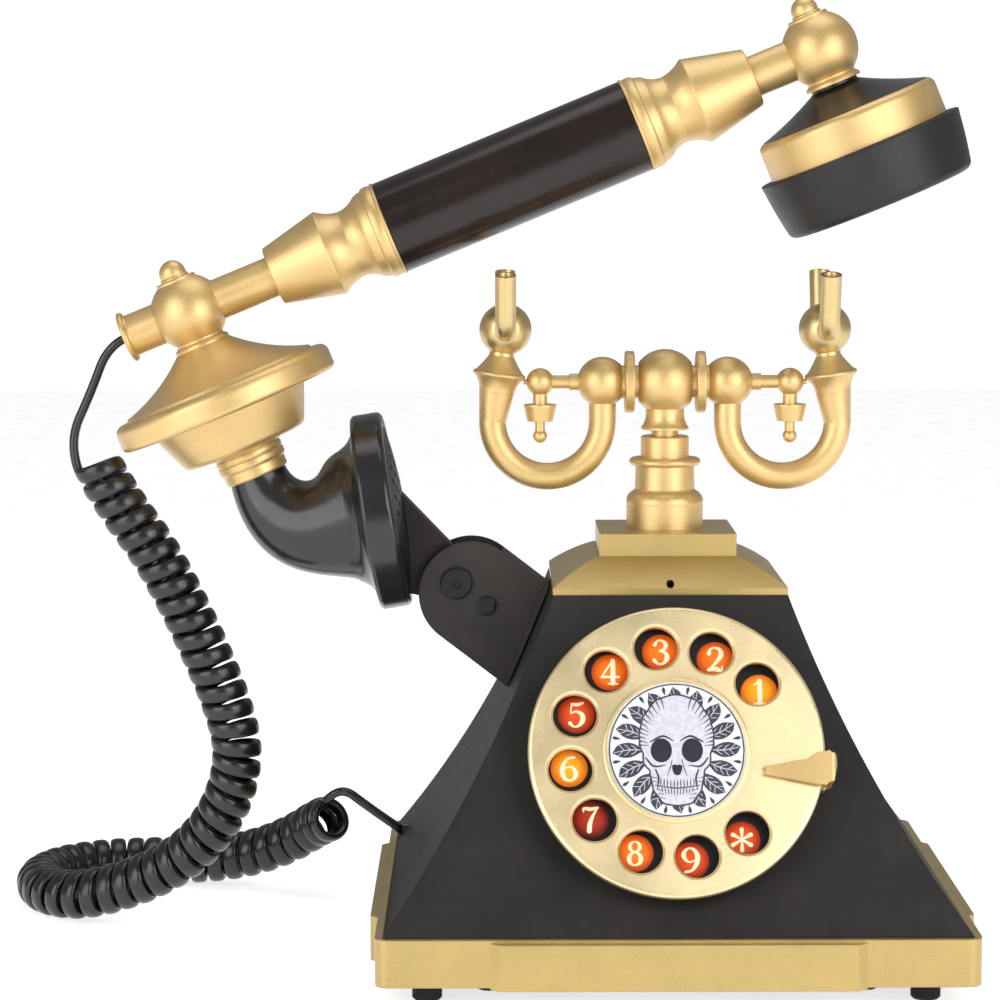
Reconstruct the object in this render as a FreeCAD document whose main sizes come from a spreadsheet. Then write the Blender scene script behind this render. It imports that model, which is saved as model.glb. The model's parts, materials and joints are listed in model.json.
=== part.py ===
"""Antique-style rotary telephone with a motor-lifted handset, as separate pieces.

Frame: origin on the table under the middle of the base, +X to the right seen
from the dial side, +Y to the back, +Z up. Millimetres and degrees.
"""
import FreeCAD
import Part
import math
import os
import Sketcher
from FreeCAD import Placement, Rotation, Vector

doc = FreeCAD.newDocument("rotary_telephone")
sheet = doc.addObject("Spreadsheet::Sheet", "sizes")

SIZES = {
    # base and body
    "base_width": 200, "base_corner": 5, "foot_height": 7.5, "base_top": 23.4,
    "panel_half": 62, "panel_depth": 2.75, "panel_slope": 3.5, "panel_low": 6.9, "panel_high": 22.4,
    "base_wall": 4, "base_ledge": 16, "cover_thick": 2.5, "foot_radius": 5,
    "body_low_half": 97.4, "body_top": 129.6, "body_top_half": 40.3, "body_curve": 425, "body_wall": 2.5,
    "roof_lip": 2.4, "roof_top": 141.1, "roof_top_half": 24.6, "roof_curve": 60,
    "block_half": 23.8, "block_top": 148.9, "sensor_hole": 1.3,
    # column and cradle
    "bell_radius": 13.55, "barrel_radius": 10.6, "flange_radius": 12.6, "collar_radius": 8.5,
    "plunger_radius": 4.75, "plunger_bore": 4.8, "column_top": 181.3, "hub_low": 183.6,
    "hub_radius": 11.6, "hub_height": 200.3, "hub_half": 9.3, "shaft_radius": 5.8, "shaft_bore": 5.85,
    "disc_radius": 10.9, "disc_near": 10.9, "disc_thick": 3.3, "inner_ball": 8.9, "inner_ball_reach": 22.1,
    "horn_bend": 19.4, "horn_tube": 4.75, "horn_centre_height": 186.3, "horn_lean": 8.1,
    "horn_leg": 10.5, "horn_leg_top": 6.2, "collar_widest": 9.3, "collar_neck": 4.4, "collar_height": 13,
    "fork_ball": 9.2, "fork_ball_rise": 32.8, "fork_tube": 3.65, "fork_half": 15, "fork_tip_half": 20.5,
    "fork_top": 238.6, "finial_ball": 4.9, "finial_reach": 44.1,
    # dial
    "dial_height": 82.8, "dial_front": 80, "dial_tilt": 22.5, "wheel_radius": 49.4, "wheel_thick": 3.5,
    "hole_radius": 7.3, "hole_edge": 8.2, "hole_circle": 35.8,
    "hole_first": 40, "hole_step": 30, "hole_count": 10,
    "bezel_radius": 24.5, "medallion_radius": 22.9, "drum_radius": 46, "drum_front": 4.3, "drum_back": 28,
    "drum_wall": 2.4, "plate_front": 8.2, "plate_turn": 3, "lens_radius": 6.3, "spindle_radius": 3,
    "spindle_bore": 3.05,
    # bracket and lift arm
    "pivot_left": 73.6, "pivot_height": 130.2, "bracket_slope": 37.5, "bracket_half": 18.45,
    "bracket_end": 6.4, "bracket_inner": 8, "bracket_plate": 2.5, "foot_plate": 1.6,
    "pivot_radius": 3, "pivot_bore": 3.05,
    "tooth_module": 0.6, "arm_teeth": 30, "pinion_teeth": 14, "gear_width": 2.4, "motor_radius": 5,
    "arm_hub": 7.5,
    # handset
    "handset_tilt": 22.4, "grip_left": 53.8, "grip_height": 272.3, "grip_radius": 16.5, "grip_half": 46.6,
    "ferrule_length": 44.3, "neck_radius": 7.2, "mouth_reach": 123.3, "ear_reach": 116.3,
    "elbow_radius": 13.35, "elbow_flat": 11.2, "knob_radius": 4.75, "outlet_radius": 7.35,
    "outlet_rim": 9, "outlet_length": 13, "rim_radius": 40.35, "ear_radius": 36.9, "band_radius": 32.7,
    "mouth_left": 105.2, "mouth_height": 154, "mouth_tilt": 9.3, "mouth_radius": 34.7, "mouth_thick": 10.6,
    # cord
    "lead_radius": 2.05, "coil_radius": 9,
}
for row, (alias, number) in enumerate(SIZES.items(), start=1):
    sheet.set("A%d" % row, alias)
    sheet.set("B%d" % row, str(number))
    sheet.setAlias("B%d" % row, alias)
doc.recompute()


class Size:
    """A number together with the sheet expression it comes from."""

    def __init__(self, value, text):
        self.value = value
        self.text = text

    def join(self, other, sign, result):
        text = other.text if isinstance(other, Size) else "(%r)" % other
        return Size(result, "(%s %s %s)" % (self.text, sign, text))

    def __add__(self, other):
        return self.join(other, "+", self.value + number_of(other))

    def __sub__(self, other):
        return self.join(other, "-", self.value - number_of(other))

    def __mul__(self, other):
        return self.join(other, "*", self.value * number_of(other))

    def __rsub__(self, other):
        return Size(other - self.value, "((%r) - %s)" % (other, self.text))

    def __neg__(self):
        return Size(-self.value, "(0 - %s)" % self.text)


def number_of(size):
    return size.value if isinstance(size, Size) else size


class Sheet:
    """The sheet's cells by name."""

    def __getattr__(self, name):
        return Size(float(sheet.get(name)), "sizes.%s" % name)


S = Sheet()
PIECES = {}


def bind(thing, prop, size):
    """Gives a property its size, tied to the sheet where the size comes from it."""
    if isinstance(size, Size):
        thing.setExpression(prop, size.text)
    else:
        setattr(thing, prop, size)


def named(label, thing):
    """Makes an object one of the telephone's pieces."""
    thing.Label = label
    PIECES[label] = thing
    return thing


# ---------------------------------------------------------------- sketches and bodies

def plane(body, role):
    return next(item for item in body.Origin.OriginFeatures if item.Role == role)


def new_sketch(body, role, offset=0.0):
    sketch = body.newObject("Sketcher::SketchObject", "Sketch")
    sketch.AttachmentSupport = [(plane(body, role), "")]
    sketch.MapMode = "FlatFace"
    if isinstance(offset, Size):
        sketch.setExpression("AttachmentOffset.Base.z", offset.text)
    elif offset:
        sketch.AttachmentOffset = Placement(Vector(0, 0, offset), Rotation())
    return sketch


def arc_between(start, end, radius):
    """Arc from start to end; a positive radius bows it to the left of the way it runs."""
    chord = end - start
    half = chord.Length / 2
    side = Vector(chord.y, -chord.x, 0).normalize()
    reach = math.sqrt(max(radius * radius - half * half, 0.0))
    centre = (start + end) * 0.5 + side * math.copysign(reach, radius)
    circle = Part.Circle(centre, Vector(0, 0, 1), abs(radius))
    first = math.atan2(start.y - centre.y, start.x - centre.x)
    last = math.atan2(end.y - centre.y, end.x - centre.x)
    if radius > 0:
        return Part.ArcOfCircle(circle, last, first), 2, 1
    return Part.ArcOfCircle(circle, first, last), 1, 2


def fix_point(sketch, edge, end, x, y):
    """Ties one end of an edge to its two distances from the sketch's origin."""
    for kind, size, axis in (("DistanceX", x, -2), ("DistanceY", y, -1)):
        if abs(number_of(size)) < 1e-9:
            sketch.addConstraint(Sketcher.Constraint("PointOnObject", edge, end, axis))
            continue
        index = sketch.addConstraint(Sketcher.Constraint(kind, -1, 1, edge, end, number_of(size)))
        if isinstance(size, Size):
            sketch.setExpression("Constraints[%d]" % index, size.text)


def draw_outline(sketch, points):
    """Closed outline of (x, y) points; a third value is the radius of the arc leading there."""
    count = len(points)
    spots = [Vector(number_of(p[0]), number_of(p[1]), 0) for p in points]
    ends = []
    for index, point in enumerate(points):
        start, end = spots[index - 1], spots[index]
        if len(point) == 3:
            edge, first, last = arc_between(start, end, number_of(point[2]))
        else:
            edge, first, last = Part.LineSegment(start, end), 1, 2
        ends.append((sketch.addGeometry(edge, False), first, last))
    for index in range(count):
        edge, first, last = ends[index]
        following, begin, _ = ends[(index + 1) % count]
        sketch.addConstraint(Sketcher.Constraint("Coincident", edge, last, following, begin))
        fix_point(sketch, edge, last, points[index][0], points[index][1])
        if len(points[index]) == 3:
            radius = points[index][2]
            row = sketch.addConstraint(Sketcher.Constraint("Radius", edge, abs(number_of(radius))))
            if isinstance(radius, Size):
                sketch.setExpression("Constraints[%d]" % row, "abs(%s)" % radius.text)


def draw_circle(sketch, radius, x=0.0, y=0.0):
    spot = Vector(number_of(x), number_of(y), 0)
    edge = sketch.addGeometry(Part.Circle(spot, Vector(0, 0, 1), number_of(radius)), False)
    fix_point(sketch, edge, 3, x, y)
    row = sketch.addConstraint(Sketcher.Constraint("Radius", edge, number_of(radius)))
    if isinstance(radius, Size):
        sketch.setExpression("Constraints[%d]" % row, radius.text)


def rectangle(half_x, half_y, x=0.0, y=0.0):
    return [(half_x * -1 + x, half_y * -1 + y), (half_x + x, half_y * -1 + y),
            (half_x + x, half_y + y), (half_x * -1 + x, half_y + y)]


def rounded_square(half, corner):
    """Square outline with round corners."""
    near = half - corner
    arc = corner * -1
    return [(near * -1, half * -1, arc), (near, half * -1), (half, near * -1, arc), (half, near),
            (near, half, arc), (near * -1, half), (half * -1, near, arc), (half * -1, near * -1)]


def new_body(place=None):
    body = doc.addObject("PartDesign::Body", "Body")
    if place:
        body.Placement = place
    return body


def pad(body, draw, low, high, role="XY_Plane"):
    """Pad between two heights over a body's plane; draw fills the sketch."""
    sketch = new_sketch(body, role, low)
    draw(sketch)
    feature = body.newObject("PartDesign::Pad", "Pad")
    feature.Profile = sketch
    bind(feature, "Length", high - low if isinstance(high, Size) else Size(high, repr(high)) - low)
    return feature


def pocket(body, draw, low, high, role="XY_Plane"):
    """Pocket that clears everything between two heights over a body's plane."""
    sketch = new_sketch(body, role, low)
    draw(sketch)
    feature = body.newObject("PartDesign::Pocket", "Pocket")
    feature.Profile = sketch
    feature.Reversed = True
    bind(feature, "Length", high - low if isinstance(high, Size) else Size(high, repr(high)) - low)
    return feature


def around(body, feature, count, angle=360.0):
    """Repeats a body's feature round its own Z axis."""
    pattern = body.newObject("PartDesign::PolarPattern", "Pattern")
    pattern.Originals = [feature]
    pattern.Axis = (plane(body, "Z_Axis"), [""])
    pattern.Angle = angle
    bind(pattern, "Occurrences", count)
    body.Tip = pattern
    return pattern


def turned(profile, place=None):
    """Turned piece: (radius, height) points revolved about the body's Z axis."""
    body = new_body(place)
    sketch = new_sketch(body, "XZ_Plane")
    draw_outline(sketch, profile)
    feature = body.newObject("PartDesign::Revolution", "Revolution")
    feature.Profile = sketch
    feature.ReferenceAxis = (sketch, ["V_Axis"])
    feature.Angle = 360.0
    return body


# ---------------------------------------------------------------- primitives and booleans

def cylinder(radius, height, place=None):
    item = doc.addObject("Part::Cylinder", "Cylinder")
    bind(item, "Radius", radius)
    bind(item, "Height", height)
    item.Placement = place or Placement()
    return item


def box(low, high, place=None):
    """Box between two corners given in the frame of place."""
    item = doc.addObject("Part::Box", "Box")
    for prop, near, far in zip(("Length", "Width", "Height"), low, high):
        span = far - near if isinstance(far, Size) or isinstance(near, Size) else float(far - near)
        bind(item, prop, span)
    corner = Placement(Vector(*[number_of(value) for value in low]), Rotation())
    item.Placement = (place or Placement()).multiply(corner)
    return item


def joined(items):
    item = doc.addObject("Part::MultiFuse", "Fusion")
    item.Shapes = items
    item.Refine = True
    return item


def shared(first, second):
    item = doc.addObject("Part::MultiCommon", "Common")
    item.Shapes = [first, second]
    return item


def less(base, tools):
    for tool in tools:
        item = doc.addObject("Part::Cut", "Cut")
        item.Base = base
        item.Tool = tool
        base = item
    return base


def group(items):
    """Several separate solids of one kind in one node."""
    item = doc.addObject("Part::Compound", "Group")
    item.Links = items
    return item


def copies(original, places):
    """One solid repeated at several places."""
    links = []
    for place in places:
        link = doc.addObject("App::Link", "Copy")
        link.LinkedObject = original
        link.LinkTransform = False
        link.Placement = place
        links.append(link)
    return group(links)


def wire_spring(radius, pitch, height, thick):
    """Coil spring of round wire of radius thick that rises from the origin along Z."""
    spine = doc.addObject("Part::Helix", "Helix")
    spine.Pitch = pitch
    spine.Height = height
    spine.Radius = radius
    wire = doc.addObject("Part::Circle", "Wire")
    wire.Radius = thick
    wire.Placement = at(radius, 0, 0, turn(X_AXIS, 90))
    sweep = doc.addObject("Part::Sweep", "Spring")
    sweep.Sections = [wire]
    sweep.Spine = (spine, [])
    sweep.Solid = True
    sweep.Frenet = True
    return sweep


def rounded_path(points, bend=None):
    """Straight runs joined by tangent arcs; returns the wire and its arcs' radii.

    Each arc is bend, or as large as its two runs allow: 0.45 of the shorter run
    divided by the tangent of half the turn.
    """
    spots = [Vector(*point) for point in points]
    edges = []
    radii = []
    last = spots[0]
    for before, corner, after in zip(spots, spots[1:], spots[2:]):
        way_in = (corner - before).normalize()
        way_out = (after - corner).normalize()
        half_turn = way_in.getAngle(way_out) / 2
        run = min((corner - before).Length, (after - corner).Length)
        radius = bend or 0.45 * run / math.tan(half_turn)
        reach = radius * math.tan(half_turn)
        start = corner - way_in * reach
        end = corner + way_out * reach
        inward = (way_out - way_in).normalize()
        middle = corner + inward * (radius / math.cos(half_turn) - radius)
        edges.append(Part.LineSegment(last, start).toShape())
        edges.append(Part.Arc(start, middle, end).toShape())
        radii.append(radius)
        last = end
    edges.append(Part.LineSegment(last, spots[-1]).toShape())
    return Part.Wire(edges), radii


def bent_tube(points, radius, bend=None):
    """Round bar swept along a path of runs and arcs."""
    wire, radii = rounded_path(points, bend)
    size = number_of(radius)
    start = Vector(*points[0])
    way = Vector(*points[1]) - start
    ring = Part.Wire([Part.Circle(start, way, size).toShape()])
    solid = Part.Wire(wire.Edges).makePipeShell([ring], True, False)
    expected = math.pi * size * size * wire.Length
    if abs(solid.Volume - expected) > 0.01 * expected:
        raise RuntimeError("a swept tube's volume is wrong")
    item = doc.addObject("Part::Feature", "Tube")
    item.Shape = solid
    return item, wire.Length, radii


# ---------------------------------------------------------------- frames

def turn(axis, angle):
    return Rotation(Vector(*axis), angle)


def at(x, y, z, rotation=None):
    return Placement(Vector(number_of(x), number_of(y), number_of(z)), rotation or Rotation())


Y_AXIS = (0, 1, 0)
X_AXIS = (1, 0, 0)
Z_AXIS = (0, 0, 1)
ALONG_X = turn(Y_AXIS, 90)
TO_FRONT = turn(X_AXIS, 90)
HALF_TURN = turn(Z_AXIS, 180)
HANDSET = at(-S.grip_left, 0, S.grip_height, turn(Y_AXIS, -S.handset_tilt.value))
DIAL = at(0, -S.dial_front, S.dial_height, turn(X_AXIS, 90 - S.dial_tilt.value))
BRACKET = at(-S.pivot_left, 0, S.pivot_height, turn(Y_AXIS, S.bracket_slope.value))
PIVOT = at(-S.pivot_left, 0, S.pivot_height, TO_FRONT)
MOUTH = at(-S.mouth_left, 0, S.mouth_height, turn(Y_AXIS, -S.mouth_tilt.value))


def hole_angle(index):
    return math.radians(S.hole_first.value + index * S.hole_step.value)


def on_hole_circle(index, turned_back=0.0):
    """Centre of a finger hole, or of its number when the circle is turned back by some degrees."""
    angle = hole_angle(index) - math.radians(turned_back)
    reach = S.hole_circle.value
    return Vector(reach * math.cos(angle), reach * math.sin(angle), 0)


# ---------------------------------------------------------------- base

SCREW_X = 62
SCREW_Y = 88
DOOR_Y = 30
SWITCH_X = 50
SWITCH_Y = -45
screw_spots = [(x, y) for x in (-SCREW_X, SCREW_X) for y in (-SCREW_Y, SCREW_Y)]


def make_base_plinth():
    """Square frame with a raised panel on each side, open underneath."""
    body = new_body()
    half = S.base_width * 0.5
    pad(body, lambda k: draw_outline(k, rounded_square(half, S.base_corner)), S.foot_height, S.base_top)
    front = half + S.panel_depth
    slope = S.panel_half - S.panel_slope
    panel = [(-S.panel_half, -half + 2), (-S.panel_half, -half), (-slope, -front),
             (slope, -front), (S.panel_half, -half), (S.panel_half, -half + 2)]
    around(body, pad(body, lambda k: draw_outline(k, panel), S.panel_low, S.panel_high), 4)
    inner = half - S.base_wall
    pocket(body, lambda k: draw_outline(k, rectangle(inner, inner)), S.panel_low - 1, S.base_top - 3)
    ledge = half - S.base_ledge
    pocket(body, lambda k: draw_outline(k, rectangle(ledge, ledge)), S.base_top - 4, S.base_top + 1)
    for x, y in screw_spots:
        pad(body, lambda k: draw_circle(k, 3.5, x, y), S.foot_height + S.cover_thick, S.base_top - 2)
        pocket(body, lambda k: draw_circle(k, 1.45, x, y), S.foot_height + S.cover_thick, 19.5)
    named("base_plinth", body)


def make_bottom_cover():
    """Floor plate with battery tray, board posts, screw bosses and a switch slot."""
    body = new_body()
    half = S.base_width * 0.5 - S.base_wall - 0.3
    low = S.foot_height
    top = low + S.cover_thick
    pad(body, lambda k: draw_outline(k, rectangle(half, half)), low, top)
    pad(body, lambda k: draw_outline(k, rectangle(30, 27, 0, DOOR_Y)), top - 1, 27.5)
    pocket(body, lambda k: draw_outline(k, rectangle(28, 25, 0, DOOR_Y)), low - 1, 25.5)
    for x, y in screw_spots:
        pad(body, lambda k: draw_circle(k, 4, x, y), 4.6, low + 1)
        pocket(body, lambda k: draw_circle(k, 3.1, x, y), 4, low)
        pocket(body, lambda k: draw_circle(k, 1.5, x, y), 4, top + 1)
    for x in (-34, 34):
        for y in (-2, 62):
            pad(body, lambda k: draw_circle(k, 2.5, x, y), top - 1, 31)
    pocket(body, lambda k: draw_outline(k, rectangle(5, 2.6, SWITCH_X, SWITCH_Y)), low - 1, top + 1)
    named("bottom_cover", body)


def make_base_details():
    """Battery door and cells, feet, case screws, switch slider and board."""
    door = new_body()
    pad(door, lambda k: draw_outline(k, rectangle(27.7, 24.7, 0, DOOR_Y)), S.foot_height, 9.7)
    named("battery_door", door)

    cell = turned([(0, 0), (7.1, 0), (7.1, 48), (2.7, 48), (2.7, 49.4), (0, 49.4)])
    rows = [at(-24.7 * way, DOOR_Y + 15 * row, 17.6, turn(Y_AXIS, 90 * way))
            for row, way in ((-1, 1), (0, -1), (1, 1))]
    named("battery_cells", copies(cell, rows))

    foot = turned([(0, 0), (S.foot_radius - 0.8, 0), (S.foot_radius, 0.8), (S.foot_radius, S.foot_height),
                   (0, S.foot_height)])
    spots = [(0, 0)] + [(x, y) for x in (-83, 83) for y in (-84, 84)]
    named("rubber_feet", copies(foot, [at(x, y, 0) for x, y in spots]))

    screw = turned([(0, 5.3), (3, 5.3), (3, 7.5), (1.4, 7.5), (1.4, 18), (0, 19.4)])
    slot = box((-2.2, -0.4, 5), (2.2, 0.4, 6.2))
    named("case_screws", copies(less(screw, [slot]), [at(x, y, 0) for x, y in screw_spots]))

    slider = new_body(at(SWITCH_X - 2, SWITCH_Y, 0))
    pad(slider, lambda k: draw_outline(k, rectangle(2.5, 2.2)), 5.4, 10.5)
    pad(slider, lambda k: draw_outline(k, rectangle(9, 4.5)), 10.3, 11.8)
    named("switch_slider", slider)

    board = new_body()
    pad(board, lambda k: draw_outline(k, rectangle(38, 36, 0, DOOR_Y)), 31, 32.6)
    for half_x, half_y, x, y, top in ((7, 7, -12, 38, 35), (4, 9, 14, 20, 38), (5, 3, 22, 50, 40)):
        pad(board, lambda k: draw_outline(k, rectangle(half_x, half_y, x, y)), 32, top)
    named("main_board", board)


# ---------------------------------------------------------------- body and roof

def hipped(profile):
    """Four-sided solid whose half width at each height follows one profile."""
    sides = []
    for rotation in (turn(X_AXIS, 90), turn(Z_AXIS, 90).multiply(turn(X_AXIS, 90))):
        sketch = doc.addObject("Sketcher::SketchObject", "Profile")
        sketch.Placement = Placement(Vector(), rotation)
        draw_outline(sketch, profile)
        side = doc.addObject("Part::Extrusion", "Side")
        side.Base = sketch
        side.DirMode = "Normal"
        side.Solid = True
        side.Symmetric = True
        bind(side, "LengthFwd", S.base_width * 1.2)
        sides.append(side)
    return shared(*sides)


def drum_way(radius, low, high):
    """Cylinder on the dial's axis between two depths behind the wheel's front."""
    return cylinder(radius, low - high, DIAL.multiply(at(0, 0, -low)))


def foot_frame():
    """Middle of the bracket's foot on the body's left face, X pointing into the body."""
    top, low = Vector(-40.9, 0, 129.2), Vector(-57.0, 0, 90.4)
    slope = math.degrees(math.atan2(top.x - low.x, top.z - low.z))
    return Placement((top + low) * 0.5, turn(Y_AXIS, slope))


def bracket_screw_places():
    """The bracket's screws between its cheeks, Z into the body."""
    foot = foot_frame()
    return [foot.multiply(at(-S.foot_plate, y, z, ALONG_X)) for y in (-5, 5) for z in (-13, 13)]


def make_body_shell():
    """Hollow four-sided body with concave faces, open above and below."""
    def profile(inset):
        low_half = S.body_low_half - inset
        top_half = S.body_top_half - inset
        curve = S.body_curve
        return [(-low_half, S.base_top, curve), (low_half, S.base_top),
                (top_half, S.body_top, curve), (-top_half, S.body_top)]

    outer = hipped(profile(0))
    inner = hipped(profile(S.body_wall * 1.12))
    dial_hole = drum_way(S.drum_radius + 0.2, S.drum_back + 20, -20)
    cord_hole = cylinder(3.4, 30, at(-110, 60, 27.4, ALONG_X))
    screw_holes = [cylinder(1.45, 8, place) for place in bracket_screw_places()]
    named("body_shell", less(outer, [inner, dial_hole, cord_hole] + screw_holes))


def make_roof_cap():
    """Hipped roof with its square block, hollow, with a bar that carries the hook switch."""
    def profile(inset):
        lip = S.body_top + S.roof_lip
        return [(-S.body_top_half + inset, S.body_top), (S.body_top_half - inset, S.body_top),
                (S.body_top_half - inset, lip - inset * 0.3),
                (S.roof_top_half - inset, S.roof_top - inset * 0.8, -S.roof_curve),
                (S.block_half - inset, S.roof_top - inset * 0.8),
                (S.block_half - inset, S.block_top - inset),
                (-S.block_half + inset, S.block_top - inset),
                (-S.block_half + inset, S.roof_top - inset * 0.8),
                (-S.roof_top_half + inset, S.roof_top - inset * 0.8),
                (-S.body_top_half + inset, lip - inset * 0.3, -S.roof_curve)]

    bar = box((-38.6, -6, S.body_top), (38.6, 6, S.body_top + 2))
    shell = less(hipped(profile(0)), [hipped(profile(Size(2.2, "2.2")))])
    plunger_hole = cylinder(1.8, 12, at(0, 0, 140))
    sensor_hole = cylinder(S.sensor_hole, 14, at(0, -30, 133.2, TO_FRONT))
    cap = less(joined([shell, bar]), [plunger_hole, sensor_hole])
    named("roof_cap", cap)
    sensor = turned([(0, 0), (2.2, 0), (2.2, 4.5), (0, 4.5)], at(0, -27, 132.4, TO_FRONT))
    named("sound_sensor", sensor)


# ---------------------------------------------------------------- column and cradle

def make_column():
    """Fixed column: bell, barrel, flange and collar round the plunger's bore."""
    top = S.column_top
    profile = [(1.7, S.block_top), (S.bell_radius, S.block_top), (S.bell_radius, 157.2),
               (S.barrel_radius + 0.4, 161.9, -4.2), (S.barrel_radius, 162.6),
               (S.barrel_radius - 0.3, 170.8), (S.flange_radius - 1.2, 170.8),
               (S.flange_radius, 172.2, -1.5), (S.flange_radius - 1.2, 173.6, -1.5),
               (S.collar_radius, 173.6), (S.collar_radius, top - 0.5), (S.collar_radius - 0.5, top),
               (S.plunger_bore, top), (S.plunger_bore, 152), (1.7, 152)]
    named("cradle_column", turned(profile))
    named("cradle_spring", copies(wire_spring(3.1, 1.6, 6.4, 0.4), [at(0, 0, 152.6)]))
    lever = box((-6, -2, 137.2), (6, 2, 137.8))
    named("hook_switch", joined([box((-7, -3, 131.6), (7, 3, 137.3)), lever]))


def side_places():
    """The right side's place and the left side's, half a turn about the column."""
    return {"right": Placement(), "left": Placement(Vector(), HALF_TURN)}


def lean_frame(rise):
    """A height along the leaning outer leg of the right horn."""
    lean = at(S.inner_ball_reach + S.horn_bend * 2, 0, S.horn_centre_height,
              turn(Y_AXIS, -S.horn_lean.value))
    return lean.multiply(at(0, 0, rise))


def make_horn_arm(side, place):
    """U-shaped arm with its inner ball, ending under the collar of the outer leg."""
    near = S.inner_ball_reach.value
    far = near + 2 * S.horn_bend.value
    mid = S.horn_centre_height.value
    top = S.hub_height.value
    bend = doc.addObject("Part::Torus", "Bend")
    bind(bend, "Radius1", S.horn_bend)
    bind(bend, "Radius2", S.horn_tube)
    bend.Angle3 = 180.0
    bend.Placement = at((near + far) / 2, 0, mid, turn(X_AXIS, -90))
    inner_leg = cylinder(S.horn_tube, S.hub_height - S.horn_centre_height, at(near, 0, mid))
    leg = doc.addObject("Part::Cone", "Leg")
    bind(leg, "Radius1", S.horn_tube)
    bind(leg, "Radius2", S.horn_leg_top)
    bind(leg, "Height", S.horn_leg)
    leg.Placement = lean_frame(0)
    knuckle = doc.addObject("Part::Sphere", "Knuckle")
    bind(knuckle, "Radius", S.horn_tube)
    knuckle.Placement = at(far, 0, mid)
    ball = doc.addObject("Part::Sphere", "Ball")
    bind(ball, "Radius", S.inner_ball)
    ball.Placement = at(near, 0, top)
    bore = cylinder(S.shaft_bore, 8, at(near - 12, 0, top, ALONG_X))
    arm = less(joined([bend, inner_leg, leg, knuckle, ball]), [bore])
    named("horn_arm_" + side, copies(arm, [place]))


def make_cradle():
    """Everything that goes down with the handset's weight."""
    hub = S.hub_height
    ball = S.hub_radius
    equator = hub
    profile = [(0, 140), (1.6, 140), (1.6, 160), (S.plunger_radius, 160), (S.plunger_radius, S.hub_low),
               (8.4, S.hub_low), (8.4, S.hub_low + 0.7), (6.8, 188.9, 7.0), (6.8, hub - 9.398),
               (ball, equator, -ball),
               (0, hub + ball, -ball)]
    turned_hub = turned(profile)
    flats = box((-S.hub_half, -20, 130), (S.hub_half, 20, 230))
    cross_bore = cylinder(S.shaft_bore, 40, at(-20, 0, hub, ALONG_X))
    named("cradle_hub", less(shared(turned_hub, flats), [cross_bore]))
    named("cross_shaft", cylinder(S.shaft_radius, 35.6, at(-17.8, 0, hub, ALONG_X)))
    thick = S.disc_thick
    disc = turned([(S.shaft_bore, 0), (S.disc_radius - 0.6, 0), (S.disc_radius, 0.6, -0.6),
                   (S.disc_radius, thick - 0.6), (S.disc_radius - 0.6, thick, -0.6), (S.shaft_bore, thick)])
    near = S.disc_near
    named("lock_discs", copies(disc, [at(near, 0, hub, ALONG_X), at(-near, 0, hub, turn(Y_AXIS, -90))]))

    widest, neck, height = S.collar_widest, S.collar_neck, S.collar_height
    collar = turned([(0, 0), (S.horn_leg_top, 0), (widest - 0.6, 5.6, 9.0), (widest, 6.5, -0.9),
                     (widest - 0.9, 7.3, -0.9), (neck, height, 40.0), (0, height)],
                    lean_frame(S.horn_leg.value))
    fork_ball_centre = lean_frame(S.fork_ball_rise.value).Base
    for side, place in side_places().items():
        make_horn_arm(side, place)
        make_fork(side, place, fork_ball_centre)
    named("horn_collars", copies(collar, [side_place.multiply(lean_frame(S.horn_leg.value))
                                          for side_place in side_places().values()]))
    make_finials()


def make_fork(side, place, centre):
    """Outer ball with a two-pronged fork of hollow-tipped tube."""
    ball = doc.addObject("Part::Sphere", "Ball")
    bind(ball, "Radius", S.fork_ball)
    ball.Placement = Placement(centre, Rotation())
    low = centre.z
    half, tip = S.fork_half.value, S.fork_tip_half.value
    height = S.fork_top.value
    line = [(centre.x, -tip, height), (centre.x, -half, low), (centre.x, half, low),
            (centre.x, tip, height)]
    prongs, _, _ = bent_tube(line, S.fork_tube, 6.0)
    foot = cylinder(S.collar_neck, 8, lean_frame(S.horn_leg.value + S.collar_height.value))
    cups = [cylinder(2.7, 5, at(centre.x, way * tip, height - 3)) for way in (-1, 1)]
    named("fork_" + side, copies(less(joined([ball, prongs, foot]), cups), [place]))


def make_finials():
    """Little ball on a stepped rod with a cup and drop hanging from it, on each side."""
    reach, ball = S.finial_reach, S.finial_ball
    start = S.inner_ball_reach + 8.4
    rod = turned([(0, start), (2.95, start), (2.95, reach - 10.3), (2.35, reach - 10.3),
                  (2.35, reach - 4.3), (ball, reach, -ball), (0.9, reach + 4.817, -ball),
                  (0.9, reach + 5.9), (0, reach + 5.9)],
                 at(0, 0, S.hub_height, ALONG_X))
    drop = turned([(0, 0), (2.5, 0), (2.5, -7.9), (5.7, -7.9), (5.7, -8.6), (4.55, -13.8), (1.75, -13.8),
                   (1.75, -17.4), (2.5, -19.1, 2.5), (0, -21.6, 2.5)],
                  at(reach, 0, S.hub_height))
    finial = joined([rod, drop])
    inner_ball = doc.addObject("Part::Sphere", "InnerBall")
    bind(inner_ball, "Radius", S.inner_ball)
    inner_ball.Placement = at(S.inner_ball_reach, 0, S.hub_height)
    named("arm_finials", copies(less(finial, [inner_ball]), list(side_places().values())))


# ---------------------------------------------------------------- dial

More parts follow.
